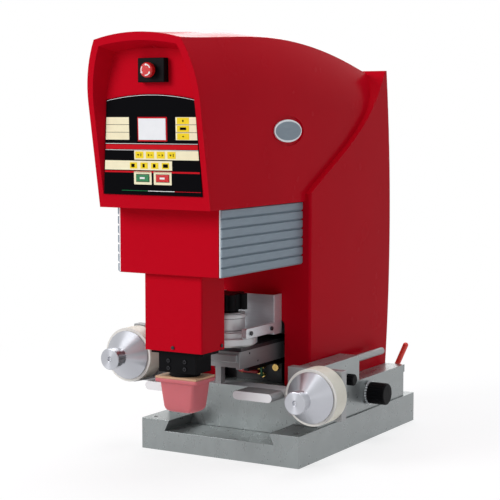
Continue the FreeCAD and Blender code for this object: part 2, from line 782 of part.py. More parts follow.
def tape_roll(centre):
    x, z = centre
    ring = cyl(ROLL_R, (x, ROLL_FRONT, z), Y_AXIS, ROLL_REAR - ROLL_FRONT)
    return ring.cut(cyl(ROLL_CORE_R, (x, ROLL_FRONT - 5, z), Y_AXIS, 60))


def tangent_angle(start, end, reach_start, reach_end, turn):
    """Direction of a line that leaves one circle and meets another on its other side."""
    across_x = end[0] - start[0]
    across_z = end[1] - start[1]
    lean = math.asin((reach_start + reach_end) / math.hypot(across_x, across_z))
    return math.atan2(across_z, across_x) + turn * lean


def tape_strip():
    """Tape from the left roll's underside, over both guide bars, down to the right roll."""
    wrap = BAR_R + 0.3
    clear = ROLL_R + TAPE_THICK + 0.4
    bar_x = BAR_OUT - BAR_R
    front = ROLL_FRONT + 1

    def at(centre, radius, angle):
        return V(centre[0] + radius * math.cos(angle), front, centre[1] + radius * math.sin(angle))

    left_bar = (-bar_x, BAR_Z)
    right_bar = (bar_x, BAR_Z)
    top = math.pi / 2
    left_run = tangent_angle(left_bar, LEFT_REEL, wrap, clear, 1)
    right_run = tangent_angle(right_bar, RIGHT_REEL, wrap, clear, -1)
    left_off = left_run - top
    right_off = right_run + top

    def bend(centre, start, end):
        return arc(at(centre, wrap, start), at(centre, wrap, (start + end) / 2), at(centre, wrap, end))

    path = [line(at(LEFT_REEL, clear, left_off + math.pi), at(left_bar, wrap, left_off)),
            bend(left_bar, left_off, top),
            line(at(left_bar, wrap, top), at(right_bar, wrap, top)),
            bend(right_bar, top, right_off),
            line(at(right_bar, wrap, right_off), at(RIGHT_REEL, clear, right_off + math.pi))]
    face = Part.Wire(path).makeOffset2D(TAPE_THICK, 0, True, True)
    return face.extrude(V(0, ROLL_REAR - ROLL_FRONT - 2, 0))


# Inside the cowls and at the rear


def inner_panel():
    panel = box(-76, 76, 160, 163, DECK_Z + LAY, 300)
    return panel.cut(box(-55, 55, 150, 170, DECK_Z - 5, 214))


def brass_fittings():
    """Nuts of the air tubes and a plug on the slide bed's front, and the air inlet at the rear."""
    back = V(0, -1, 0)
    nuts = [cyl(radius + 2, (x, BED_FRONT, z), back, 4) for *ends, radius in TUBE_LOOPS for x, z in ends]
    plug = cyl(6.5, (39.9, BED_FRONT, 151), back, 7)
    inlet = fuse([cyl(9.0, (48, 470, 195), Y_AXIS, 15), cyl(6.0, (48, 480, 195), Y_AXIS, 13)])
    return group(nuts + [plug, inlet.cut(cyl(3.0, (48, 472, 195), Y_AXIS, 30))])


def air_tubes():
    """Loops of tube from nut to nut, each bent twice."""
    tubes = []
    for first, second, radius in TUBE_LOOPS:
        bends = [V(x, BED_FRONT - 10, z) for x, z in (first, second)]
        run = bends[1] - bends[0]
        pieces = [cyl(radius, bends[0], run, run.Length)]
        for bend in bends:
            pieces += [cyl(radius, bend, Y_AXIS, 6), Part.makeSphere(radius, bend)]
        tubes.append(fuse(pieces))
    return group(tubes)


def valve_block():
    body = box(-55, 55, 340, 385, 300, 345)
    coils = [box(x - 9, x + 9, 318, 340, 305, 340) for x in (-40, -13, 13, 40)]
    return fuse([body] + coils)


def electronics():
    """Control board behind the panel and the power supply in the column's foot."""
    board = box(-85, 85, HEAD_CAVITY_FRONT + 8, HEAD_CAVITY_FRONT + 10, 500, 660)
    return group([board, box(-50, 50, 320, 420, DECK_Z + 6, 210)])


def switch_pocket():
    return box(-12, 8, 472, 490, 184, 206)


def service_panel():
    block = service_block().cut(column_cavity())
    block = rounded(block, 2.0, lambda p: abs(p.y - 482) < 0.1)
    block = block.cut(switch_pocket())
    block = block.cut(box(-60, -33, 472, 490, 185, 205))
    pins = [box(x - 1, x + 1, 471, 476, 191, 199) for x in (-53, -46.5, -40)]
    return fuse([block.cut(cyl(9.0, (48, 470, 195), Y_AXIS, 20))] + pins)


def rocker_switch():
    return prism([(475, 187), (484, 187), (481.5, 195), (484, 203), (475, 203)], "x", -11.5, 7.5)


def rear_screws():
    screws = []
    for z, y in ((178, 470.4), (405, 479.2), (632, 468.5)):
        screw = cyl(4.0, (88, y, z), Y_AXIS, 2.5)
        screws += [screw, mirrored(screw)]
    return screws


def cover_screws():
    return group(rear_screws() + shroud_screws() + arm_bolts())


def nodes():
    return {
        "base_plate": base_plate(), "mount_bushes": mount_bushes(),
        "pedestal": pedestal(), "adjust_spindle": adjust_spindle(), "adjust_knob": adjust_knob(),
        "lever_hub": lever_hub(), "lever_grip": lever_grip(),
        "column_shell": column_shell(), "rear_cover": rear_cover(), "cover_screws": cover_screws(),
        "head_shell": head_shell(), "side_badges": side_badges(),
        "control_panel": control_panel(), "display_window": display_window(),
        "start_key": push_key(START_X), "stop_key": push_key(STOP_X),
        "stop_box": stop_box(), "stop_button": stop_button(),
        "under_box": under_box(), "side_louvres": side_louvres(), "pad_shroud": pad_shroud(),
        "machine_frame": machine_frame(), "guide_bushes": guide_bushes(),
        "pad_cylinder": pad_cylinder(), "pad_rods": pad_rods(),
        "pad_holder": pad_holder(), "pad_screws": pad_screws(),
        "pad_plate": pad_plate(), "printing_pad": printing_pad(),
        "doctor_ring": doctor_ring(), "ink_cup": ink_cup(), "cup_star": cup_star(),
        "cup_bracket": cup_bracket(), "cup_arms": cup_arms(),
        "plate_holder": plate_holder(), "printing_plate": printing_plate(), "plate_clamp": plate_clamp(),
        "slide_bed": slide_bed(), "slide_rails": slide_rails(), "slide_carriages": slide_carriages(),
        "slide_cylinder": slide_cylinder(), "slide_rod": slide_rod(),
        "guide_bars": guide_bars(), "reel_plates": reel_plates(), "tape_rods": tape_rods(),
        "rod_housings": rod_housings(),
        "clamp_knob_right": clamp_knob(), "clamp_knob_left": mirrored(clamp_knob()),
        "hub_right": reel_hub(RIGHT_REEL), "hub_left": reel_hub(LEFT_REEL),
        "roll_right": tape_roll(RIGHT_REEL), "roll_left": tape_roll(LEFT_REEL), "tape_strip": tape_strip(),
        "inner_panel": inner_panel(), "brass_fittings": brass_fittings(), "air_tubes": air_tubes(),
        "valve_block": valve_block(), "electronics": electronics(),
        "service_panel": service_panel(), "rocker_switch": rocker_switch(),
    }


def main():
    os.makedirs("parts", exist_ok=True)
    for name, shape in nodes().items():
        shape.translate(V(0, -BASE_DEPTH / 2, 0))
        print(name, len(shape.Solids), shape.isValid(), round(shape.Volume / 1000, 2))
        shape.exportStep("parts/" + name + ".step")


main()
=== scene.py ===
import json
import math

import bmesh
import bpy
from bpy.props import FloatProperty, FloatVectorProperty, IntProperty, PointerProperty
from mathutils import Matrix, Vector

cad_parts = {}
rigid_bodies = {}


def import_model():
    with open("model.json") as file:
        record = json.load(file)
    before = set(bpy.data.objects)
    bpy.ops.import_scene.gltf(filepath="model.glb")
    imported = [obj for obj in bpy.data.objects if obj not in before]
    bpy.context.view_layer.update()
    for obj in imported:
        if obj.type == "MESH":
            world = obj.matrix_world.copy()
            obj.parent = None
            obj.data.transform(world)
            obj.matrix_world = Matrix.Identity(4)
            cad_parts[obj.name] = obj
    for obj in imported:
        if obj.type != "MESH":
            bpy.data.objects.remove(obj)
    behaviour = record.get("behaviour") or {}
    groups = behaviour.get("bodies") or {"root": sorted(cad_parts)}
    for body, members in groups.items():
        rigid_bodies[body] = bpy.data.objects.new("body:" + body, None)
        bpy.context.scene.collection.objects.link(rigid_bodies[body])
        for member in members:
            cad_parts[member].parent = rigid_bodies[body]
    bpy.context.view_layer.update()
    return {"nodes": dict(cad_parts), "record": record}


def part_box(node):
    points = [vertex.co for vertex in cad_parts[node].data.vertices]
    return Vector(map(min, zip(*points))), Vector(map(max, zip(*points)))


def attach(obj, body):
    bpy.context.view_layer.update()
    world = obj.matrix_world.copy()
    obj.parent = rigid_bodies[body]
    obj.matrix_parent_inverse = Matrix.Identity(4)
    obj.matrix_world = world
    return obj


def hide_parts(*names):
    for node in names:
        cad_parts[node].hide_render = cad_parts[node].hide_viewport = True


for leftover in list(bpy.data.objects):
    bpy.data.objects.remove(leftover)
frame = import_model()

bl_info = {
    "name": "Pad printing machine",
    "version": (1, 0, 0),
    "blender": (4, 5, 0),
    "location": "3D View > Sidebar > Pad Printer",
    "description": "Dresses a benchtop closed-cup pad printing machine and its studio",
    "category": "Object",
}

RECORD = frame["record"]
BODY_OF = {node: body for body, nodes in RECORD["behaviour"]["bodies"].items() for node in nodes}
AXES = {"x": Vector((1, 0, 0)), "y": Vector((0, 1, 0)), "z": Vector((0, 0, 1))}

# Edges lightened, partly as wear and partly as a painted highlight, mottled roughness and bumps, in metres or
# as a share
WEAR_AND_HIGHLIGHT_RADIUS = 0.0012
WEAR_AND_HIGHLIGHT_LIGHTER = 1.5
ROUGH_FINER = 2.3
BUMP_DEPTH = 0.0004
RING_DEPTH = 0.0003

# Where noise lies, and how well the normals agree on a flat face and on an edge
NOISE_RANGE = (0.3, 0.7)
EDGE_RANGE = (0.995, 0.85)

# Meshes: edges sharper than SHARP_EDGE are rounded and faces flatter than FLAT_FACES joined, in degrees
SHARP_EDGE = 34
FLAT_FACES = 0.3
WELD = 1e-6

# Hexagon sockets: how far they stand up, and a corner's reach as a share of the width
SOCKET_STAND = 0.0004
HEX_CORNER = 0.577


def colour(name, description, default):
    return FloatVectorProperty(name=name, description=description, default=default, size=3, min=0.0, max=1.0,
                               subtype="COLOR")


def length(name, description, default):
    return FloatProperty(name=name, description=description, default=default, min=0.0, unit="LENGTH",
                         precision=5)


def power(name, description, default):
    return FloatProperty(name=name, description=description, default=default, min=0.0, unit="POWER")


class PressColours(bpy.types.PropertyGroup):
    cowl_red: colour("Cowl red", "Gloss paint of the head, column and shroud", (0.56, 0.003, 0.014))
    ground_metal: colour("Ground metal", "Base plate, pedestal and rod housings", (0.31, 0.335, 0.335))
    milled_metal: colour("Milled metal", "Cup bracket, its arms, badges and knurled ring", (0.72, 0.75, 0.78))
    holder_metal: colour("Holder metal", "Plate holder, reel plates, bars and tape rods", (0.34, 0.345, 0.35))
    turned_metal: colour("Turned metal", "Reel hubs", (0.50, 0.51, 0.55))
    polished_metal: colour("Polished metal", "Spindle, pad rods, bushes and cylinders", (0.46, 0.47, 0.48))
    cup_metal: colour("Cup metal", "Ink cup and its neck", (0.70, 0.71, 0.72))
    louvre_metal: colour("Louvre metal", "Ribbed side panels and the badges' enamel", (0.27, 0.33, 0.38))
    black_moulding: colour("Black moulding", "Knobs, pad holder and boxes", (0.007, 0.007, 0.008))
    film_black: colour("Film black", "Ground of the control panel's film", (0.004, 0.004, 0.005))
    film_cream: colour("Film cream", "Label fields of the control panel", (0.98, 0.90, 0.62))
    film_yellow: colour("Film yellow", "Flat membrane keys", (0.98, 0.72, 0.035))
    film_red: colour("Film red", "Stripes of the control panel", (0.62, 0.012, 0.02))
    key_green: colour("Key green", "Start key", (0.015, 0.22, 0.07))
    key_red: colour("Key red", "Stop key and emergency button", (0.66, 0.012, 0.014))
    silicone: colour("Silicone", "Printing pad", (0.64, 0.145, 0.165))
    pad_wood: colour("Pad wood", "Backing plate of the pad", (0.75, 0.46, 0.27))
    tape_face: colour("Tape face", "Outer turn of the tape", (0.90, 0.87, 0.74))
    tape_edge: colour("Tape edge", "Side of a tape roll", (0.90, 0.88, 0.82))
    brass: colour("Brass", "Air fittings", (0.64, 0.43, 0.14))
    lever_red: colour("Lever red", "Dipped grip of the clamp lever", (1.0, 0.06, 0.04))


class PressSizes(bpy.types.PropertyGroup):
    cowl_round: length("Cowl rounding", "Rounding of the cowls' edges", 0.0026)
    block_round: length("Block rounding", "Rounding of machined blocks", 0.0012)
    moulding_round: length("Moulding rounding", "Rounding of black mouldings", 0.0012)
    film_thick: length("Film thickness", "How far printed film fields stand up", 0.00018)
    key_thick: length("Key thickness", "How far membrane keys stand up", 0.0005)
    socket_across: length("Socket width", "Width of the screws' hexagon sockets", 0.0036)
    knurl_ridge: length("Knurl ridge", "Width of one knurl ridge", 0.0034)
    knurl_count: IntProperty(name="Knurl count", description="Ridges round the collar", default=26, min=8)
    turn_steps: IntProperty(name="Turning steps", description="Sides of a turned piece", default=128, min=24)


class StageSettings(bpy.types.PropertyGroup):
    key_power: power("Key light", "Soft box at the front left", 64.0)
    fill_power: power("Fill light", "Soft box at the right", 3.5)
    top_power: power("Top light", "Soft box overhead", 20.0)
    rear_power: power("Rear light", "Soft box behind", 22.0)
    lens: FloatProperty(name="Lens", description="Camera's focal length in millimetres", default=104.4,
                        min=10.0)


def colours():
    return bpy.context.scene.press_colours


def sizes():
    return bpy.context.scene.press_sizes


# Node helpers


def add(tree, kind, inputs=None, **settings):
    """A new node with its settings, and its inputs set or linked."""
    node = tree.nodes.new(kind)
    for key, value in settings.items():
        setattr(node, key, value)
    for key, value in (inputs or {}).items():
        if isinstance(value, bpy.types.NodeSocket):
            tree.links.new(value, node.inputs[key])
        else:
            node.inputs[key].default_value = value
    return node


def object_place(tree):
    return add(tree, "ShaderNodeTexCoord").outputs["Object"]


def number(tree, operation, first, second):
    return add(tree, "ShaderNodeMath", {0: first, 1: second}, operation=operation).outputs[0]


def vector(tree, operation, *values):
    """A vector node's result, which is a plain value for a length or a dot product."""
    node = add(tree, "ShaderNodeVectorMath", dict(enumerate(values)), operation=operation)
    return node.outputs["Value" if operation in ("LENGTH", "DOT_PRODUCT") else "Vector"]


def spread(tree, value, from_min, from_max, to_min, to_max, clamp=True):
    """A value taken from one range to another."""
    return add(tree, "ShaderNodeMapRange", {
        "Value": value, "From Min": from_min, "From Max": from_max, "To Min": to_min, "To Max": to_max},
        clamp=clamp).outputs[0]


def new_tree(name, kind, inputs, output):
    """A node group with named sockets, its inputs and the socket of its one output."""
    tree = bpy.data.node_groups.new(name, kind)
    for label, sort, value in inputs:
        socket = tree.interface.new_socket(label, in_out="INPUT", socket_type="NodeSocket" + sort)
        if value is not None:
            socket.default_value = value
    tree.interface.new_socket(output[0], in_out="OUTPUT", socket_type="NodeSocket" + output[1])
    return tree, add(tree, "NodeGroupInput").outputs, add(tree, "NodeGroupOutput").inputs[output[0]]


def shared(name, build):
    return bpy.data.node_groups.get(name) or build(name)


# Shared shader effects


def grain_group(name):
    """Noise on object coordinates, stretched along chosen axes and spread between two values."""
    tree, given, result = new_tree(name, "ShaderNodeTree", [
        ("Stretch", "Vector", (1.0, 1.0, 1.0)), ("Scale", "Float", 50.0), ("Detail", "Float", 3.0),
        ("Low", "Float", 0.0), ("High", "Float", 1.0)], ("Value", "Float"))
    stretched = vector(tree, "MULTIPLY", object_place(tree), given["Stretch"])
    noise = add(tree, "ShaderNodeTexNoise", {"Vector": stretched, "Scale": given["Scale"],
                                             "Detail": given["Detail"]}).outputs[0]
    tree.links.new(spread(tree, noise, *NOISE_RANGE, given["Low"], given["High"], clamp=False), result)
    return tree


def rings_group(name):
    """Rings round a Y axis through a centre, for turning marks and the layers of a roll."""
    tree, given, result = new_tree(name, "ShaderNodeTree", [
        ("Centre", "Vector", (0.0, 0.0, 0.0)), ("Pitch", "Float", 0.001)], ("Value", "Float"))
    offset = vector(tree, "SUBTRACT", object_place(tree), given["Centre"])
    reach = vector(tree, "LENGTH", vector(tree, "MULTIPLY", offset, (1.0, 0.0, 1.0)))
    turns = number(tree, "DIVIDE", reach, given["Pitch"])
    line = add(tree, "ShaderNodeTexNoise", {"W": turns, "Scale": 1.0, "Detail": 2.0}, noise_dimensions="1D")
    tree.links.new(line.outputs[0], result)
    return tree


def edges_group(name):
    """A mask along sharp edges, where the rounded normal leaves the true one."""
    tree, given, result = new_tree(name, "ShaderNodeTree", [
        ("Radius", "Float", 0.001), ("Amount", "Float", 0.5)], ("Mask", "Float"))
    soft = add(tree, "ShaderNodeBevel", {"Radius": given["Radius"]}, samples=4)
    true = add(tree, "ShaderNodeNewGeometry")
    agree = vector(tree, "DOT_PRODUCT", soft.outputs[0], true.outputs["Normal"])
    tree.links.new(spread(tree, agree, *EDGE_RANGE, 0.0, given["Amount"]), result)
    return tree


def effect(tree, name, build, values):
    """The first output of a shared shader group, placed with its own values."""
    return add(tree, "ShaderNodeGroup", values, node_tree=shared(name, build)).outputs[0]


def grain(tree, scale, stretch=(1, 1, 1), low=0.0, high=1.0, detail=3.0):
    return effect(tree, "surface_grain", grain_group, {
        "Stretch": stretch, "Scale": scale, "Detail": detail, "Low": low, "High": high})


def rings(tree, centre, pitch):
    return effect(tree, "turned_rings", rings_group, {"Centre": centre, "Pitch": pitch})


def mixed(tree, factor, first, second):
    """A colour between two others, each a socket or a plain colour."""
    return add(tree, "ShaderNodeMix", {0: factor, 6: first, 7: second}, data_type="RGBA").outputs[2]


def shaded(base, share):
    return tuple(min(1.0, part * share) for part in base) + (1.0,)


def feed(tree, key, value):
    """Set one of the shader's inputs, or link it."""
    socket = tree.nodes["Principled BSDF"].inputs[key]
    if isinstance(value, bpy.types.NodeSocket):
        tree.links.new(value, socket)
    else:
        socket.default_value = value


def relief(tree, height, strength, distance):
    """Feed a height through a bump to the shader's normal."""
    bump = add(tree, "ShaderNodeBump", {"Height": height, "Strength": strength, "Distance": distance})
    feed(tree, "Normal", bump.outputs["Normal"])


def surface(name, base, rough, metallic=0.0, shade=0.88, mottle=30.0, stretch=(1, 1, 1), bump=0.0,
            bump_scale=900.0, wear_and_highlight=0.0, sockets=None):
    """A material with mottled colour and roughness, fine bump and edges painted lighter, partly as wear and
    partly as a painted highlight.

    rough is the range of roughness, shade how dark the mottling goes, mottle and bump_scale how fine the
    noise is, and sockets holds plain values of the shader.
    """
    material = bpy.data.materials.new(name)
    material.use_nodes = True
    material.diffuse_color = shaded(base, 1.0)
    tree = material.node_tree
    tint = mixed(tree, grain(tree, mottle, stretch), shaded(base, shade), shaded(base, 1.0))
    # Sharp edges painted lighter: partly wear, partly a painted highlight
    if wear_and_highlight:
        wear_and_highlight_mask = effect(tree, "worn_edges", edges_group, {"Radius": WEAR_AND_HIGHLIGHT_RADIUS, "Amount": wear_and_highlight})
        tint = mixed(tree, wear_and_highlight_mask, tint, shaded(base, WEAR_AND_HIGHLIGHT_LIGHTER))
    feed(tree, "Base Color", tint)
    feed(tree, "Roughness", grain(tree, mottle * ROUGH_FINER, stretch, *rough))
    if bump:
        relief(tree, grain(tree, bump_scale, stretch, detail=2.0), bump, BUMP_DEPTH)
    feed(tree, "Metallic", metallic)
    for key, value in (sockets or {}).items():
        feed(tree, key, value)
    return material


# Finishes


FILM = dict(rough=(0.30, 0.38), shade=0.95, mottle=80.0, sockets={"IOR": 1.06})
KEY = dict(rough=(0.22, 0.30), shade=0.9, mottle=120.0, bump=0.03)

# What surface() is given for each finish. Without a base, the colour is the press's own of that name.
FINISHES = {
    "cowl_red": dict(rough=(0.22, 0.28), shade=0.96, mottle=7.0, sockets={"IOR": 1.075}),
    "ground_metal": dict(rough=(0.26, 0.34), metallic=0.6, shade=0.92, mottle=22.0, stretch=(3.0, 1.0, 1.5)),
    "milled_metal": dict(rough=(0.32, 0.42), metallic=0.55, shade=0.90, stretch=(1.0, 8.0, 8.0), bump=0.03,
                         bump_scale=160.0, wear_and_highlight=0.5),
    "holder_metal": dict(rough=(0.34, 0.44), metallic=0.5, shade=0.92, stretch=(8.0, 1.0, 8.0), bump=0.02,
                         bump_scale=160.0, wear_and_highlight=0.6),
    "cup_metal": dict(rough=(0.36, 0.44), metallic=0.3, shade=0.96),
    "polished_metal": dict(rough=(0.10, 0.20), metallic=1.0, shade=0.9, mottle=24.0, bump=0.02,
                           bump_scale=500.0),
    "louvre_metal": dict(rough=(0.38, 0.48), metallic=0.2, shade=0.92, stretch=(8.0, 1.0, 8.0), bump=0.02,
                         bump_scale=160.0, wear_and_highlight=0.25, sockets={"IOR": 1.2}),
    "dark_steel": dict(base=(0.045, 0.045, 0.05), rough=(0.28, 0.38), metallic=0.85, shade=0.8, mottle=60.0),
    "etched_plate": dict(base=(0.07, 0.07, 0.075), rough=(0.30, 0.42), metallic=0.7, shade=0.8, mottle=18.0),
    "brass": dict(rough=(0.20, 0.32), metallic=1.0, shade=0.82, mottle=70.0, bump=0.03),
    "black_moulding": dict(rough=(0.36, 0.48), shade=0.75, mottle=60.0, bump=0.06, bump_scale=1500.0,
                           sockets={"IOR": 1.12}),
    "film_black": FILM,
    "film_cream": FILM,
    "film_yellow": FILM,
    "film_red": FILM,
    "film_green": dict(FILM, base="key_green"),
    "film_white": dict(FILM, base=(0.92, 0.92, 0.90)),
    "key_green": KEY,
    "key_red": KEY,
    "display_white": dict(base=(0.90, 0.91, 0.92), rough=(0.08, 0.12), shade=0.97, mottle=60.0,
                          sockets={"Coat Weight": 0.6, "Coat Roughness": 0.05}),
    "silicone": dict(rough=(0.42, 0.52), shade=0.94, mottle=26.0, bump=0.03, bump_scale=700.0,
                     sockets={"Subsurface Weight": 0.18, "Subsurface Scale": 0.004}),
    "pad_wood": dict(rough=(0.50, 0.65), shade=0.62, mottle=45.0, stretch=(1.0, 9.0, 14.0), bump=0.12,
                     bump_scale=160.0),
    "tape_face": dict(rough=(0.42, 0.55), shade=0.90, mottle=24.0, bump=0.04, bump_scale=600.0),
    "tape_web": dict(base=(0.52, 0.53, 0.54), rough=(0.34, 0.44), shade=0.94, mottle=24.0, bump=0.03,
                     bump_scale=600.0),
    "bar_white": dict(base=(0.92, 0.92, 0.92), rough=(0.34, 0.44), shade=0.96, mottle=40.0),
    "lever_red": dict(rough=(0.30, 0.40), shade=0.9, mottle=50.0, bump=0.05, bump_scale=500.0),
    "dark_paint": dict(base=(0.03, 0.03, 0.033), rough=(0.45, 0.60), shade=0.8, mottle=20.0, bump=0.05),
    "ceramic": dict(base=(0.82, 0.81, 0.77), rough=(0.18, 0.26), shade=0.95, mottle=60.0),
    "board_green": dict(base=(0.02, 0.12, 0.05), rough=(0.40, 0.50), shade=0.8, mottle=90.0),
}


def finish(kind):
    """The material of a finish in the table, built once. A material is given back as it is."""
    if isinstance(kind, bpy.types.Material):
        return kind
    name = "press_" + kind
    values = dict(FINISHES[kind])
    base = values.pop("base", kind)
    if isinstance(base, str):
        base = getattr(colours(), base)
    return bpy.data.materials.get(name) or surface(name, base, **values)


def name_at(kind, centre):
    """The name of a finish that is centred on one reel."""
    return "_".join(["press", kind] + ["%d" % round(part * 1000) for part in centre])


def turned_metal(centre):
    """Bright turned aluminium: rings round the hub's own axis break up the highlight."""
    material = surface(name_at("turned_metal", centre), colours().turned_metal, (0.28, 0.34), metallic=1.0,
                       shade=0.94, mottle=16.0, sockets={"Anisotropic": 0.8, "Anisotropic Rotation": 0.25})
    tree = material.node_tree
    relief(tree, rings(tree, centre, 0.0014), 0.06, RING_DEPTH)
    offset = vector(tree, "SUBTRACT", object_place(tree), centre)
    feed(tree, "Tangent", vector(tree, "CROSS_PRODUCT", offset, (0.0, 1.0, 0.0)))
    return material


def tape_edge(centre):
    """The side of a roll, where the tape's turns show as fine rings."""
    base = colours().tape_edge
    material = surface(name_at("tape_edge", centre), base, (0.55, 0.66), shade=0.93, mottle=40.0)
    tree = material.node_tree
    layers = rings(tree, centre, 0.0005)
    feed(tree, "Base Color", mixed(tree, layers, shaded(base, 0.72), shaded(base, 1.08)))
    relief(tree, layers, 0.35, RING_DEPTH)
    return material


def tube_colours():
    """Air tubes: the left loop red and the right one green."""
    red = (0.42, 0.008, 0.016)
    green = (0.01, 0.16, 0.06)
    right_loop = 0.0065
    material = surface("press_tube_colours", red, (0.30, 0.40), mottle=40.0)
    tree = material.node_tree
    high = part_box("air_tubes")[1]
    across = add(tree, "ShaderNodeSeparateXYZ", {0: object_place(tree)}).outputs["X"]
    right = number(tree, "GREATER_THAN", across, high[0] - right_loop)
    feed(tree, "Base Color", mixed(tree, right, shaded(red, 1.0), shaded(green, 1.0)))
    return material


# Mesh helpers


def placed(name, data):
    """A new object in the scene."""
    item = bpy.data.objects.new(name, data)
    bpy.context.scene.collection.objects.link(item)
    return item


def bevelled(mesh, width, segments=2):
    """The mesh with its sharp edges rounded and its faces shaded smooth."""
    mesh.polygons.foreach_set("use_smooth", [True] * len(mesh.polygons))
    holder = placed("holder", mesh)
    edges = holder.modifiers.new("edges", "BEVEL")
    edges.width = width
    edges.segments = segments
    edges.limit_method = "ANGLE"
    edges.angle_limit = math.radians(SHARP_EDGE)
    edges.harden_normals = True
    faces = holder.modifiers.new("faces", "WEIGHTED_NORMAL")
    faces.weight = 100
    faces.keep_sharp = True
    return evaluated(holder)


def evaluated(holder):
    """The plain mesh that an object's modifiers give. The object is removed."""
    graph = bpy.context.evaluated_depsgraph_get()
    mesh = bpy.data.meshes.new_from_object(holder.evaluated_get(graph))
    bpy.data.objects.remove(holder)
    return mesh


def to_mesh(shape, name):
    mesh = bpy.data.meshes.new(name)
    shape.to_mesh(mesh)
    shape.free()
    return mesh


def from_shape(shape, name):
    """A new shape's mesh, with its faces turned outwards."""
    bmesh.ops.recalc_face_normals(shape, faces=shape.faces[:])
    return to_mesh(shape, name)


def cad_copy(node):
    """A CAD piece's mesh with its triangles joined into whole faces."""
    shape = bmesh.new()
    shape.from_mesh(frame["nodes"][node].data)
    bmesh.ops.remove_doubles(shape, verts=shape.verts[:], dist=WELD)
    bmesh.ops.dissolve_limit(shape, angle_limit=math.radians(FLAT_FACES), verts=shape.verts[:],
                             edges=shape.edges[:])
    return to_mesh(shape, node)


def keep(name, mesh, finishes, body, replaced=()):
    """Put a finished mesh in the scene as a piece that rides on a body."""
    mesh.materials.clear()
    for kind in finishes:
        mesh.materials.append(finish(kind))
    piece = placed(name, mesh)
    mesh.name = name
    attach(piece, body)
    if replaced:
        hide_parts(*replaced)
    return piece


def round_off(node, name, kind, width, segments=2):
    """Stand a copy of a CAD piece, with its edges rounded, in that piece's place."""
    mesh = bevelled(cad_copy(node), width, segments)
    mesh.polygons.foreach_set("material_index", [0] * len(mesh.polygons))
    return keep(name, mesh, [kind], BODY_OF[node], [node])


def dress(kind, *nodes):
    """Give CAD pieces that keep their own shape a finish."""
    for node in nodes:
        mesh = frame["nodes"][node].data
        mesh.materials.clear()
        mesh.materials.append(finish(kind))


def middle_of(node):
    """The middle of a CAD piece's box."""
    low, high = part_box(node)
    return [(near + far) / 2 for near, far in zip(low, high)]


def skin(shape, first, second):
    """Faces between two rings of points, where a ring may be one point."""
    for index in range(len(first)):
        after = (index + 1) % len(first)
        ring = [first[index], first[after], second[after], second[index]]
        shape.faces.new(list(dict.fromkeys(ring)))


def circle_angles(steps):
    return [2 * math.pi * step / steps for step in range(steps)]


def turned(name, profile, centre, along="y"):
    """A solid of revolution: profile is radius and place along the axis, from end to end."""
    axis = AXES[along]
    side = AXES["z" if along != "z" else "x"]
    up = axis.cross(side)
    steps = sizes().turn_steps
    shape = bmesh.new()
    rows = []
    for radius, place in profile:
        spot = Vector(centre) + axis * place
        if radius == 0:
            rows.append([shape.verts.new(spot)] * steps)
            continue
        rows.append([shape.verts.new(spot + (side * math.cos(angle) + up * math.sin(angle)) * radius)
                     for angle in circle_angles(steps)])
    for first, second in zip(rows, rows[1:]):
        skin(shape, first, second)
    return from_shape(shape, name)


def rounded_outline(x0, x1, z0, z1, radius, steps=4):
    """Points of a rectangle with rounded corners."""
    corners = [(x1 - radius, z1 - radius, 0), (x0 + radius, z1 - radius, 90),
               (x0 + radius, z0 + radius, 180), (x1 - radius, z0 + radius, 270)]
    points = []
    for x, z, start in corners:
        for step in range(steps + 1):
            angle = math.radians(start + 90 * step / steps)
            points.append((x + radius * math.cos(angle), z + radius * math.sin(angle)))
    return points


def plates(name, outlines, depth_at, lift, thick):
    """Thin plates on a sloping front face: outlines in x and z, and depth_at gives y for a height."""
    shape = bmesh.new()
    for points in outlines:
        back = [shape.verts.new((x, depth_at(z) - lift, z)) for x, z in points]
        front = [shape.verts.new((x, depth_at(z) - lift - thick, z)) for x, z in points]
        shape.faces.new(back)
        shape.faces.new(front)
        skin(shape, back, front)
    return from_shape(shape, name)


# Geometry node trees for what repeats


def repeat_tree(name, inputs):
    """A geometry tree with the sockets that every repeat has, and some of its own."""
    inputs = [("Geometry", "Geometry", None)] + inputs + [("Finish", "Material", None)]
    return new_tree(name, "GeometryNodeTree", inputs, ("Geometry", "Geometry"))


def sockets_tree(name):
    """Hexagon sockets on marked points, each turned along its point's axis."""
    tree, given, result = repeat_tree(name, [("Across", "Float", 0.004), ("Depth", "Float", 0.0005)])
    half = number(tree, "MULTIPLY", given["Across"], HEX_CORNER)
    hexagon = add(tree, "GeometryNodeMeshCylinder", {"Vertices": 6, "Radius": half, "Depth": given["Depth"]})
    axis = add(tree, "GeometryNodeInputNamedAttribute", {"Name": "axis"}, data_type="FLOAT_VECTOR")
    turn = add(tree, "FunctionNodeAlignRotationToVector", {"Vector": axis.outputs["Attribute"]}, axis="Z")
    return repeat(tree, given["Geometry"], hexagon.outputs["Mesh"], turn.outputs[0], given["Finish"], result)


def key_row_tree(name):
    """A row of flat keys on a sloping face."""
    tree, given, result = repeat_tree(name, [
        ("Count", "Int", 4), ("Start", "Vector", (0.0, 0.0, 0.0)), ("Step", "Vector", (0.02, 0.0, 0.0)),
        ("Size", "Vector", (0.014, 0.0005, 0.01)), ("Lean", "Vector", (0.0, 0.0, 0.0))])
    row = add(tree, "GeometryNodeMeshLine", {"Count": given["Count"], "Start Location": given["Start"],
                                             "Offset": given["Step"]})
    key = add(tree, "GeometryNodeMeshCube", {"Size": given["Size"]})
    return repeat(tree, row.outputs[0], key.outputs["Mesh"], given["Lean"], given["Finish"], result)


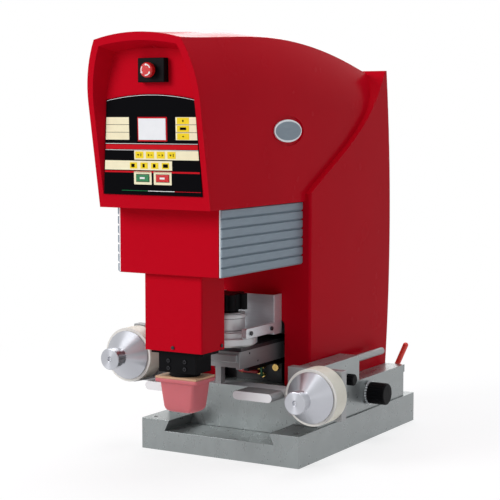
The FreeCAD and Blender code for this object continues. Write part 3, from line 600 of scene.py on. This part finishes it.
def knurl_tree(name):
    """Ridges round a collar on an X axis."""
    tree, given, result = repeat_tree(name, [
        ("Count", "Int", 36), ("Radius", "Float", 0.02), ("Size", "Vector", (0.004, 0.002, 0.002))])
    ring = add(tree, "GeometryNodeMeshCircle", {"Vertices": given["Count"], "Radius": given["Radius"]})
    upright = add(tree, "GeometryNodeTransform", {"Geometry": ring.outputs[0],
                                                  "Rotation": (0.0, math.pi / 2, 0.0)})
    place = add(tree, "GeometryNodeInputPosition")
    turn = add(tree, "FunctionNodeAlignRotationToVector", {"Vector": place.outputs[0]}, axis="Z")
    ridge = add(tree, "GeometryNodeMeshCube", {"Size": given["Size"]})
    return repeat(tree, upright.outputs[0], ridge.outputs["Mesh"], turn.outputs[0], given["Finish"], result)


def repeat(tree, points, instance, rotation, material, result):
    """The end of each tree: a copy on every point, made real and given its finish."""
    put = add(tree, "GeometryNodeInstanceOnPoints", {"Points": points, "Instance": instance,
                                                     "Rotation": rotation})
    real = add(tree, "GeometryNodeRealizeInstances", {0: put.outputs[0]})
    done = add(tree, "GeometryNodeSetMaterial", {"Geometry": real.outputs[0], "Material": material})
    tree.links.new(done.outputs[0], result)
    return tree


def grown(tree, points, settings):
    """The plain mesh that a tree grows on a mesh of points."""
    holder = placed("holder", points)
    modifier = holder.modifiers.new("repeat", "NODES")
    modifier.node_group = tree
    for item in tree.interface.items_tree:
        if item.in_out == "INPUT" and item.name in settings:
            modifier[item.identifier] = settings[item.name]
    return evaluated(holder)


def marked_points(spots):
    """A mesh of bare points, each with the axis that a repeat turns along."""
    mesh = bpy.data.meshes.new("points")
    mesh.from_pydata([spot for spot, axis in spots], [], [])
    axes = mesh.attributes.new("axis", "FLOAT_VECTOR", "POINT")
    for index, (spot, axis) in enumerate(spots):
        axes.data[index].vector = axis
    return mesh


def sockets_on(name, spots, body):
    """Dark hexagon sockets in screw heads at spots, each a place and an outward axis."""
    mesh = grown(shared("hex_sockets", sockets_tree), marked_points(spots), {
        "Across": sizes().socket_across, "Depth": SOCKET_STAND, "Finish": finish("black_moulding")})
    return keep(name, mesh, ["black_moulding"], body)


def joined(meshes, name):
    """Several meshes as one."""
    shape = bmesh.new()
    for mesh in meshes:
        shape.from_mesh(mesh)
    return to_mesh(shape, name)


# Operators


class PRESS_OT_base(bpy.types.Operator):
    """Base plate, pedestal, adjusting knob and clamp lever"""
    bl_idname = "press.base"
    bl_label = "Base and pedestal"

    def execute(self, context):
        round_off("base_plate", "base_slab", "ground_metal", sizes().block_round)
        round_off("pedestal", "pedestal_block", "ground_metal", sizes().block_round)
        round_off("mount_bushes", "mount_bush_rings", "polished_metal", 0.0004)
        dress("polished_metal", "adjust_spindle", "lever_hub")
        round_off("adjust_knob", "adjust_grip", "black_moulding", 0.0004, 1)
        round_off("lever_grip", "lever_sleeve", "lever_red", 0.0006)
        self.collar()
        return {"FINISHED"}

    def collar(self):
        """Bright knurled ridges round the knob's inner end."""
        low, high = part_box("adjust_knob")
        ridge = sizes().knurl_ridge
        wide, overhang = 0.0030, 0.0004
        radius = (high[2] - low[2]) / 2 + ridge * 0.2
        mesh = grown(shared("collar_knurl", knurl_tree), bpy.data.meshes.new("points"), {
            "Count": sizes().knurl_count, "Radius": radius, "Size": (wide, ridge, ridge * 0.8),
            "Finish": finish("milled_metal")})
        middle = Vector([low[0] + wide / 2 - overhang] + middle_of("adjust_knob")[1:])
        for vertex in mesh.vertices:
            vertex.co += middle
        keep("collar_knurl", mesh, ["milled_metal"], "adjuster")


class PRESS_OT_cowls(bpy.types.Operator):
    """Red cowls of the head, column and pad, the ribbed side panels and the badges"""
    bl_idname = "press.cowls"
    bl_label = "Cowls"

    def execute(self, context):
        round_off("head_shell", "head_cowl", "cowl_red", sizes().cowl_round, 3)
        round_off("column_shell", "column_cowl", "cowl_red", sizes().cowl_round, 3)
        round_off("rear_cover", "rear_panel", "cowl_red", 0.0008)
        round_off("under_box", "front_plate", "cowl_red", 0.0012)
        round_off("pad_shroud", "shroud_tube", "cowl_red", 0.0010)
        round_off("side_louvres", "louvre_ribs", "louvre_metal", 0.0009)
        round_off("side_badges", "badge_plates", "milled_metal", 0.0007)
        self.badge_fields()
        self.louvre_ends()
        return {"FINISHED"}

    def badge_fields(self):
        """Grey enamel in each badge, inside a bright rim and left plain."""
        rim, steps = 0.0035, 64
        low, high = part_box("side_badges")
        middle = middle_of("side_badges")
        reach_y = (high[1] - low[1]) / 2 - rim
        reach_z = (high[2] - low[2]) / 2 - rim
        oval = [(middle[1] + reach_y * math.cos(angle), middle[2] + reach_z * math.sin(angle))
                for angle in circle_angles(steps)]
        shape = bmesh.new()
        for face_x in (low[0], high[0]):
            out = math.copysign(sizes().film_thick, face_x)
            rows = [[shape.verts.new((x, y, z)) for y, z in oval] for x in (face_x, face_x + out)]
            for row in rows:
                shape.faces.new(row)
            skin(shape, *rows)
        keep("badge_fields", from_shape(shape, "badge_fields"), ["louvre_metal"], "machine")

    def louvre_ends(self):
        """Bright cut ends of the ribbed panels, beside the front plate."""
        gap, rib, edge = 0.0006, 0.0034, 0.001
        low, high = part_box("side_louvres")
        plate_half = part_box("under_box")[1][0]
        ends = []
        for side in (-1, 1):
            x0, x1 = sorted((side * (plate_half + gap), side * (high[0] - rib)))
            ends.append(rounded_outline(x0, x1, low[2] + edge, high[2] - edge, 0.0004))
        mesh = plates("louvre_ends", ends, lambda z: low[1], 0.0, 0.0004)
        keep("louvre_ends", mesh, ["bar_white"], "machine")


class PRESS_OT_panel(bpy.types.Operator):
    """Control panel film with its fields and keys, display and emergency stop"""
    bl_idname = "press.panel"
    bl_label = "Control panel"

    # Heights, places and sizes on the panel, in metres
    SHOULDER = 0.655
    NARROWING = 0.0105
    MARGIN = 0.0012
    TOP_MARGIN = 0.0018
    FOOT_DEPTH = 0.0018
    SIDE_FIELD = 0.5875
    SIDE_PITCH = 0.01295
    SIDE_TALL = 0.0122
    UPPER_KEYS = 0.562
    LOWER_KEYS = 0.544
    SIDE_KEYS_X = 0.0655
    SIDE_KEYS_Z = 0.5935

    def execute(self, context):
        self.low, self.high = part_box("control_panel")
        dress("film_black", "control_panel")
        dress("display_white", "display_window")
        round_off("start_key", "start_cap", "key_green", 0.0003)
        round_off("stop_key", "stop_cap", "key_red", 0.0003)
        round_off("stop_box", "stop_housing", "black_moulding", 0.0006)
        round_off("stop_button", "stop_mushroom", "key_red", 0.0006)
        self.fields()
        self.stripes()
        self.membrane_keys()
        self.key_marks()
        self.stop_arrows()
        return {"FINISHED"}

    def front(self, z):
        """Depth of the panel's front face at a height."""
        share = (z - self.low[2]) / (self.high[2] - self.low[2])
        foot = self.high[1] - self.FOOT_DEPTH
        return foot + (self.low[1] - foot) * share

    def half(self, z):
        """Half width of the panel at a height, less a thin margin."""
        share = (z - self.low[2]) / (self.SHOULDER - self.low[2])
        return self.high[0] - self.NARROWING * share - self.MARGIN

    def band(self, z0, z1, x0=None, x1=None):
        """A field between two heights: to the panel's edge where no x is given."""
        left = [(-self.half(z1), z1), (-self.half(z0), z0)] if x0 is None else [(x0, z1), (x0, z0)]
        right = [(self.half(z0), z0), (self.half(z1), z1)] if x1 is None else [(x1, z0), (x1, z1)]
        return left + right

    def lay(self, name, outlines, kind, slot, lift=0.0):
        mesh = plates(name, outlines, self.front, lift, sizes().film_thick)
        keep(name, mesh, [kind], "machine")

    def fields(self):
        """Cream label fields in rows, with thin gaps between the rows, and the display's border."""
        outlines = []
        for row in range(3):
            z0 = self.SIDE_FIELD + self.SIDE_PITCH * row
            outlines.append(self.band(z0, z0 + self.SIDE_TALL, None, -0.044))
            outlines.append(self.band(z0, z0 + self.SIDE_TALL, 0.0505, None))
        outlines.append(self.band(0.554, 0.5694, -0.0345, None))
        outlines.append(self.band(0.5364, 0.5522, None, 0.042))
        for node in ("start_key", "stop_key"):
            outlines += self.frame_round(node, 0.0042, 0.0008)
        self.lay("label_fields", outlines, "film_cream", "display_white")
        self.lay("display_border", self.frame_round("display_window", 0.0022, 0.0002), "film_red", "key_red")

    def frame_round(self, node, wide, gap):
        """Four strips that frame a key or the display."""
        low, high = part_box(node)
        x0, x1, z0, z1 = low[0] - gap, high[0] + gap, low[2] - gap, high[2] + gap
        left, right = x0 - wide, x1 + wide
        return [[(left, z0 - wide), (right, z0 - wide), (right, z0), (left, z0)],
                [(left, z1), (right, z1), (right, z1 + wide), (left, z1 + wide)],
                [(left, z0), (x0, z0), (x0, z1), (left, z1)],
                [(x1, z0), (right, z0), (right, z1), (x1, z1)]]

    def stripes(self):
        """Red bands with pale lines, the arched line along the top and the three-colour line below."""
        self.lay("red_bands", [self.band(0.5715, 0.5795), self.band(0.5318, 0.5348)], "film_red", "key_red")
        arch = []
        steps, thick = 24, 0.0007
        crown = self.high[2] - self.TOP_MARGIN
        shoulder = self.SHOULDER - self.TOP_MARGIN
        wide = self.half(self.SHOULDER)
        for step in range(steps + 1):
            x = -wide + 2 * wide * step / steps
            arch.append((x, crown - (crown - shoulder) * (x / wide) ** 2))
        top = [(x, z + thick) for x, z in reversed(arch)]
        pale = [arch + top, self.band(0.5806, 0.5814), self.band(0.5698, 0.5706),
                self.band(0.5008, 0.5018, -0.008, 0.046)]
        self.lay("pale_lines", pale, "film_white", "display_white")
        self.lay("green_line", [self.band(0.5010, 0.5018, -0.062, -0.008)], "film_green", "key_green")
        self.lay("red_line", [self.band(0.5008, 0.5016, 0.046, 0.0985)], "film_red", "key_red")

    def membrane_keys(self):
        """Rows of flat yellow keys under the film."""
        lean = math.atan2(self.front(0.65) - self.front(0.5), 0.15)
        thick = sizes().key_thick
        # How many, first x and z, step in x and z, width and height
        rows = [(4, -0.0240, self.UPPER_KEYS, 0.0218, 0.0, 0.0165, 0.0115),
                (4, -0.0364, self.LOWER_KEYS, 0.0217, 0.0, 0.0150, 0.0105),
                (3, self.SIDE_KEYS_X, self.SIDE_KEYS_Z, 0.0, self.SIDE_PITCH, 0.0240, 0.0108)]
        meshes = []
        for count, x, z, step_x, step_z, wide, tall in rows:
            rise = self.front(z + 0.1) - self.front(z)
            row = grown(shared("key_row", key_row_tree), bpy.data.meshes.new("points"), {
                "Count": count, "Start": (x, self.front(z) - thick / 2, z),
                "Step": (step_x, rise * step_z * 10, step_z), "Size": (wide, thick, tall),
                "Lean": (-lean, 0.0, 0.0), "Finish": finish("film_yellow")})
            meshes.append(bevelled(row, 0.00018, 1))
        keep("membrane_keys", joined(meshes, "membrane_keys"), ["film_yellow"], "machine")

    def key_marks(self):
        """Plain arrows, bars and dots on the flat keys, and a pale bar on the start and stop keys."""
        lift = sizes().key_thick

        def bar(x, z, wide, tall):
            return [(x - wide, z - tall), (x + wide, z - tall), (x + wide, z + tall), (x - wide, z + tall)]

        def arrow(x, z, tip_x, tip_z):
            side_x, side_z = tip_z * 0.8, -tip_x * 0.8
            return [(x + tip_x, z + tip_z), (x + side_x, z + side_z), (x - side_x, z - side_z)]

        size, drop = 0.0030, 0.0012
        top, low, side = self.UPPER_KEYS, self.LOWER_KEYS, self.SIDE_KEYS_X
        marks = [arrow(-0.0262, top + drop, 0, -size), bar(-0.0205, top, 0.0007, 0.0026),
                 arrow(-0.0060, top, size, 0), bar(0.0010, top, 0.0016, 0.0006),
                 arrow(0.0220, top, size, 0), bar(0.0168, top, 0.0016, 0.0006),
                 arrow(0.0395, top + drop, 0, -size), bar(0.0450, top, 0.0007, 0.0026),
                 bar(-0.0375, low, 0.0034, 0.0030), bar(-0.0155, low, 0.0022, 0.0030),
                 bar(0.0062, low, 0.0026, 0.0030), bar(0.0290, low, 0.0050, 0.0030),
                 bar(side, 0.6194, 0.0014, 0.0016), bar(side, 0.6064, 0.0062, 0.0022),
                 bar(side, self.SIDE_KEYS_Z, 0.0014, 0.0009)]
        self.lay("key_marks", marks, "film_black", "panel_black", lift)
        for body in ("start", "stop"):
            node = body + "_key"
            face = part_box(node)[0][1]
            x, _, z = middle_of(node)
            mark = plates(node, [bar(x, z, 0.0050, 0.0016)], lambda z: face, 0.0, lift / 4)
            keep(node + "_bar", mark, ["film_white"], body)

    def stop_arrows(self):
        """Three plain turn-to-release arrows on the emergency button."""
        centre_x, _, centre_z = middle_of("stop_button")
        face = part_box("stop_button")[0][1]
        outer, inner, steps = 0.0098, 0.0080, 10
        sweep, tip_sweep, barb = 62, 22, 0.0014

        def at(radius, degrees):
            angle = math.radians(degrees)
            return (centre_x + radius * math.cos(angle), centre_z + radius * math.sin(angle))

        outlines = []
        for start in (20, 140, 260):
            angles = [start + sweep * step / steps for step in range(steps + 1)]
            last = angles[-1]
            tip = [at(inner - barb, last), at((inner + outer) / 2, last + tip_sweep), at(outer + barb, last)]
            outlines.append([at(inner, angle) for angle in angles] + tip
                            + [at(outer, angle) for angle in reversed(angles)])
        mesh = plates("stop_arrows", outlines, lambda z: face, -0.00005, 0.0002)
        keep("stop_arrows", mesh, ["film_white"], "emergency")


class PRESS_OT_pad(bpy.types.Operator):
    """Silicone pad, its wooden backing and the black holder"""
    bl_idname = "press.pad"
    bl_label = "Printing pad"

    def execute(self, context):
        round_off("pad_holder", "holder_block", "black_moulding", sizes().moulding_round)
        round_off("pad_screws", "holder_screws", "dark_steel", 0.0005)
        round_off("pad_plate", "backing_board", "pad_wood", 0.0005)
        dress("polished_metal", "pad_rods")
        self.sockets()
        self.pad()
        return {"FINISHED"}

    def sockets(self):
        """Hexagon sockets in the holder's four front screws."""
        head, pitch = 0.0034, 0.0065
        low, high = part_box("pad_screws")
        middle = middle_of("pad_screws")[2]
        spots = [((x, low[1], z), (0, -1, 0)) for x in (low[0] + head, high[0] - head)
                 for z in (middle - pitch, middle + pitch)]
        sockets_on("holder_sockets", spots, "pad_unit")

    def pad(self):
        """A tapered block with a lipped flange and a softly crowned printing face."""
        low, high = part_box("printing_pad")
        middle = middle_of("printing_pad")
        half_x = (high[0] - low[0]) / 2
        half_y = (high[1] - low[1]) / 2
        tall = high[2] - low[2]
        # Share of the height, spread in x and in y, corner radius
        sections = [(1.0, 0.985, 0.985, 0.004), (0.985, 1.0, 1.0, 0.005), (0.915, 1.0, 1.0, 0.005),
                    (0.895, 0.985, 0.985, 0.005), (0.885, 0.835, 0.910, 0.005), (0.86, 0.80, 0.88, 0.005),
                    (0.60, 0.770, 0.845, 0.006), (0.34, 0.735, 0.805, 0.007), (0.17, 0.715, 0.780, 0.008),
                    (0.10, 0.690, 0.750, 0.009), (0.05, 0.640, 0.690, 0.010), (0.018, 0.56, 0.59, 0.010),
                    (0.0, 0.41, 0.42, 0.008)]
        shape = bmesh.new()
        rows = []
        for share, spread_x, spread_y, corner in sections:
            reach_x = half_x * spread_x
            reach_y = half_y * spread_y
            points = rounded_outline(-reach_x, reach_x, -reach_y, reach_y, min(corner, reach_y * 0.7), 8)
            rows.append([shape.verts.new((middle[0] + x, middle[1] + y, low[2] + tall * share))
                         for x, y in points])
        for first, second in zip(rows, rows[1:]):
            skin(shape, first, second)
        shape.faces.new(rows[0])
        shape.faces.new(rows[-1])
        mesh = from_shape(shape, "silicone_pad")
        mesh.polygons.foreach_set("use_smooth", [len(face.vertices) == 4 for face in mesh.polygons])
        piece = keep("silicone_pad", mesh, ["silicone"], "pad_unit", ["printing_pad"])


class PRESS_OT_ink_cup(bpy.types.Operator):
    """Ink cup with its stacked neck, star knob, bracket and arms"""
    bl_idname = "press.ink_cup"
    bl_label = "Ink cup"

    def execute(self, context):
        round_off("ink_cup", "cup_body", "cup_metal", 0.0007)
        round_off("cup_star", "star_knob", "black_moulding", 0.0016, 3)
        round_off("cup_bracket", "cup_angle", "milled_metal", 0.0006)
        round_off("cup_arms", "cup_fingers", "milled_metal", 0.0004)
        dress("ceramic", "doctor_ring")
        self.grooves()
        return {"FINISHED"}

    def grooves(self):
        """Dark bands round the cup's neck: painted shade where its turned rings meet."""
        neck, stand = 0.0320, 0.0003
        inner, outer = neck - stand, neck + stand
        centre = middle_of("ink_cup")[:2] + [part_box("ink_cup")[1][2]]
        meshes = []
        for place, thick in ((-0.0022, 0.0014), (-0.0104, 0.0008), (-0.0322, 0.0010)):
            profile = [(inner, place), (outer, place), (outer, place + thick), (inner, place + thick),
                       (inner, place)]
            meshes.append(turned("groove", profile, centre, "z"))
        # The dark bands are painted shade in the gaps between the neck's rings
        keep("neck_grooves", joined(meshes, "neck_grooves"), ["dark_steel"], "machine")


class PRESS_OT_shuttle(bpy.types.Operator):
    """Sliding plate holder with the printing plate, and its bed, rails and cylinder"""
    bl_idname = "press.shuttle"
    bl_label = "Plate slide"

    def execute(self, context):
        round_off("plate_holder", "holder_frame", "holder_metal", 0.0005)
        round_off("plate_clamp", "clamp_bar", "holder_metal", 0.0004)
        self.holder_sockets()
        round_off("slide_bed", "bed_plate", "dark_paint", 0.0005)
        dress("etched_plate", "printing_plate")
        dress("dark_steel", "slide_rails", "slide_carriages")
        dress("polished_metal", "slide_rod", "slide_cylinder")
        return {"FINISHED"}

    def holder_sockets(self):
        """Small set screws along both sides of the plate holder."""
        low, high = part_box("plate_holder")
        # Each is a way back from the front and down from the top
        rows = [(0.035, 0.006), (0.065, 0.024), (0.165, 0.006), (0.195, 0.024)]
        spots = [((x, low[1] + along, high[2] - down), (math.copysign(1, x), 0, 0))
                 for x in (low[0], high[0]) for along, down in rows]
        sockets_on("set_screws", spots, "shuttle")


class PRESS_OT_tape_unit(bpy.types.Operator):
    """Guide bars, tape, reel plates, rods, housings and clamp knobs"""
    bl_idname = "press.tape_unit"
    bl_label = "Tape unit"

    def execute(self, context):
        self.bars()
        round_off("reel_plates", "reel_mounts", "holder_metal", 0.0007)
        round_off("rod_housings", "rod_blocks", "ground_metal", sizes().block_round)
        round_off("tape_strip", "tape_run", "tape_web", 0.00015, 1)
        dress("holder_metal", "tape_rods")
        dress("black_moulding", "clamp_knob_right", "clamp_knob_left")
        return {"FINISHED"}

    def bars(self):
        """Milled guide bars with white front ends."""
        bars = round_off("guide_bars", "tape_bars", "holder_metal", 0.0007)
        bars.data.materials.append(finish("bar_white"))
        for face in bars.data.polygons:
            face.material_index = 1 if face.normal.y < -0.9 else 0


class PRESS_OT_reels(bpy.types.Operator):
    """Turned hubs and the tape rolls on them"""
    bl_idname = "press.reels"
    bl_label = "Tape reels"

    # Radii of the hub and the roll's core, in metres
    AXLE = 0.0080
    NECK = 0.0160
    CAP = 0.0205
    DRUM = 0.0380
    CORE = 0.0405
    CONE = 0.0460

    def execute(self, context):
        for side in ("right", "left"):
            self.reel(side)
        return {"FINISHED"}

    def reel(self, side):
        """A hub with a dished cap, a waist and a cone, turned in one piece."""
        x, _, z = middle_of("roll_" + side)
        centre = (x, 0.0, z)
        front, back = (corner[1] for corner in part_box("hub_" + side))
        roll_low, roll_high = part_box("roll_" + side)
        tape_front, tape_back = roll_low[1], roll_high[1]
        cone_back = tape_front - 0.0033
        profile = [(0, front + 0.003), (0.0036, front + 0.003), (0.0044, front + 0.0006), (0.0052, front),
                   (0.0192, front), (self.CAP, front + 0.0013), (self.CAP, front + 0.0150),
                   (0.0192, front + 0.0160), (0.0165, front + 0.0163), (self.NECK, front + 0.0172),
                   (self.NECK, front + 0.0290), (0.0172, front + 0.0318), (0.0452, cone_back - 0.0008),
                   (self.CONE, cone_back), (self.CONE, cone_back + 0.0028), (self.DRUM, cone_back + 0.0030),
                   (self.DRUM, tape_back), (self.AXLE, tape_back), (self.AXLE, back), (0, back)]
        mesh = bevelled(turned("hub", profile, centre), 0.0003, 1)
        keep("hub_turned_" + side, mesh, [turned_metal(centre)], "reel_" + side, ["hub_" + side])
        self.roll(side, centre, (roll_high[0] - roll_low[0]) / 2, tape_front, tape_back)

    def roll(self, side, centre, radius, front, back):
        """A wound roll: its sides step in and out a little from turn to turn, round a card core."""
        turns, step_deep = 9, 0.00012
        rim, sunk, gap = 0.0006, 0.0004, 0.0003
        sides = []
        for turn in range(turns + 1):
            place = self.CORE + (radius - rim - self.CORE) * turn / turns
            sides.append((place, step_deep * ((turn * 5) % 3)))
        profile = [(self.DRUM, front + sunk), (self.CORE - gap, front + sunk)]
        profile += [(reach, front + step) for reach, step in sides]
        profile += [(radius, front + rim), (radius, back - rim)]
        profile += [(reach, back - step) for reach, step in reversed(sides)]
        profile += [(self.CORE - gap, back - sunk), (self.DRUM, back - sunk), (self.DRUM, front + sunk)]
        mesh = turned("roll", profile, centre)
        mesh.polygons.foreach_set("use_smooth", [True] * len(mesh.polygons))
        mesh.set_sharp_from_angle(angle=math.radians(30))
        indices = [0 if abs(face.normal.y) > 0.5 else 1 for face in mesh.polygons]
        piece = keep("tape_roll_" + side, mesh, [tape_edge(centre), "tape_face"], "reel_" + side,
                     ["roll_" + side])
        piece.data.polygons.foreach_set("material_index", indices)


class PRESS_OT_inside(bpy.types.Operator):
    """What shows in the column's opening, and the drive inside the cowls"""
    bl_idname = "press.inside"
    bl_label = "Inside"

    def execute(self, context):
        dress("dark_paint", "inner_panel", "machine_frame")
        dress("brass", "brass_fittings", "guide_bushes")
        dress(tube_colours(), "air_tubes")
        dress("polished_metal", "pad_cylinder", "valve_block")
        dress("board_green", "electronics")
        return {"FINISHED"}


class PRESS_OT_rear(bpy.types.Operator):
    """Service panel and rocker switch at the back, and the cowls' screws"""
    bl_idname = "press.rear"
    bl_label = "Rear panel"

    def execute(self, context):
        round_off("service_panel", "service_block", "black_moulding", 0.0006)
        round_off("rocker_switch", "rocker_cap", "black_moulding", 0.0005)
        round_off("cover_screws", "cowl_screws", "dark_steel", 0.0005)
        return {"FINISHED"}


class PRESS_OT_stage(bpy.types.Operator):
    """Pale floor, white surroundings, soft boxes and the camera"""
    bl_idname = "press.stage"
    bl_label = "Stage"

    def execute(self, context):
        self.floor()
        self.surroundings(context.scene)
        settings = context.scene.press_stage
        aim = Vector((0.0, -0.1, 0.40))
        self.soft_box("key_light", (-1.6, -2.9, 1.9), aim, 1.5, settings.key_power)
        self.soft_box("fill_light", (2.9, -0.6, 1.2), aim, 1.4, settings.fill_power)
        self.soft_box("top_light", (0.2, 0.1, 2.6), aim, 1.6, settings.top_power)
        self.soft_box("rear_light", (-1.0, 2.6, 1.8), aim, 1.6, settings.rear_power)
        self.camera(context.scene, settings.lens)
        context.scene.view_settings.view_transform = "Standard"
        return {"FINISHED"}

    def floor(self):
        half = 7.0
        mesh = bpy.data.meshes.new("floor")
        corners = [(-half, -half, 0), (half, -half, 0), (half, half, 0), (-half, half, 0)]
        mesh.from_pydata(corners, [], [(0, 1, 2, 3)])
        floor = placed("floor", mesh)
        mesh.materials.append(self.floor_finish())

    def floor_finish(self):
        """Matt pale floor, lifted to white where it is seen or mirrored so that only the shadow shows."""
        material = bpy.data.materials.new("pale_floor")
        material.use_nodes = True
        tree = material.node_tree
        tree.nodes.clear()
        reach = vector(tree, "LENGTH", object_place(tree))
        near, far = 0.45, 1.3
        plain = add(tree, "ShaderNodeBsdfDiffuse", {"Color": (0.80, 0.80, 0.80, 1.0)})
        thin = add(tree, "ShaderNodeBsdfDiffuse", {"Color": spread(tree, reach, near, far, 0.34, 0.0)})
        glow = add(tree, "ShaderNodeEmission", {"Color": (1.0, 1.0, 1.0, 1.0),
                                                "Strength": spread(tree, reach, near, far, 0.72, 1.0)})
        seen = add(tree, "ShaderNodeAddShader", {0: thin.outputs[0], 1: glow.outputs[0]})
        self.split(tree, plain, seen, "ShaderNodeOutputMaterial")
        return material

    def split(self, tree, plain, seen, output):
        """One shader for light on the object, and one for rays that the camera, a mirror or a lens sends."""
        path = add(tree, "ShaderNodeLightPath").outputs
        rays = number(tree, "MAXIMUM", path["Is Camera Ray"], path["Is Glossy Ray"])
        rays = number(tree, "MAXIMUM", rays, path["Is Transmission Ray"])
        whole = add(tree, "ShaderNodeMixShader", {0: rays, 1: plain.outputs[0], 2: seen.outputs[0]})
        add(tree, output, {"Surface": whole.outputs[0]})

    def surroundings(self, scene):
        world = bpy.data.worlds.new("studio")
        scene.world = world
        world.use_nodes = True
        tree = world.node_tree
        tree.nodes.clear()
        light = add(tree, "ShaderNodeBackground", {"Color": (0.9, 0.92, 1.0, 1.0), "Strength": 0.35})
        white = add(tree, "ShaderNodeBackground", {"Color": (1.0, 1.0, 1.0, 1.0), "Strength": 1.0})
        self.split(tree, light, white, "ShaderNodeOutputWorld")

    def soft_box(self, name, place, aim, size, watts):
        lamp = bpy.data.lights.new(name, "AREA")
        lamp.shape = "SQUARE"
        lamp.size = size
        lamp.energy = watts
        holder = placed(name, lamp)
        holder.location = place
        holder.rotation_euler = (aim - Vector(place)).to_track_quat("-Z", "Y").to_euler()

    def camera(self, scene, lens):
        """The photograph's viewpoint: about 31 degrees to the right and 5 degrees above level."""
        camera = bpy.data.cameras.new("camera")
        camera.lens = lens
        camera.sensor_width = 36.0
        holder = placed("camera", camera)
        right, down = 30.643677, 5.196779
        holder.location = (1.389837, -2.477819, 0.624004)
        holder.rotation_euler = (math.radians(90 - down), 0.0, math.radians(right))
        scene.camera = holder


STEPS = (PRESS_OT_base, PRESS_OT_cowls, PRESS_OT_panel, PRESS_OT_pad, PRESS_OT_ink_cup, PRESS_OT_shuttle,
         PRESS_OT_tape_unit, PRESS_OT_reels, PRESS_OT_inside, PRESS_OT_rear, PRESS_OT_stage)


class PRESS_PT_sidebar(bpy.types.Panel):
    """The steps that dress the machine, with their settings"""
    bl_idname = "PRESS_PT_sidebar"
    bl_label = "Pad printing machine"
    bl_space_type = "VIEW_3D"
    bl_region_type = "UI"
    bl_category = "Pad Printer"

    def draw(self, context):
        for step in STEPS:
            self.layout.operator(step.bl_idname)
        for group in (context.scene.press_colours, context.scene.press_sizes, context.scene.press_stage):
            box = self.layout.box()
            for key in group.__annotations__:
                box.prop(group, key)


CLASSES = (PressColours, PressSizes, StageSettings) + STEPS + (PRESS_PT_sidebar,)


def register():
    for item in CLASSES:
        bpy.utils.register_class(item)
    bpy.types.Scene.press_colours = PointerProperty(type=PressColours)
    bpy.types.Scene.press_sizes = PointerProperty(type=PressSizes)
    bpy.types.Scene.press_stage = PointerProperty(type=StageSettings)


def unregister():
    del bpy.types.Scene.press_stage
    del bpy.types.Scene.press_sizes
    del bpy.types.Scene.press_colours
    for item in reversed(CLASSES):
        bpy.utils.unregister_class(item)


def main():
    register()
    for step in STEPS:
        group, name = step.bl_idname.split(".")
        getattr(getattr(bpy.ops, group), name)()


if __name__ == "__main__":
    main()
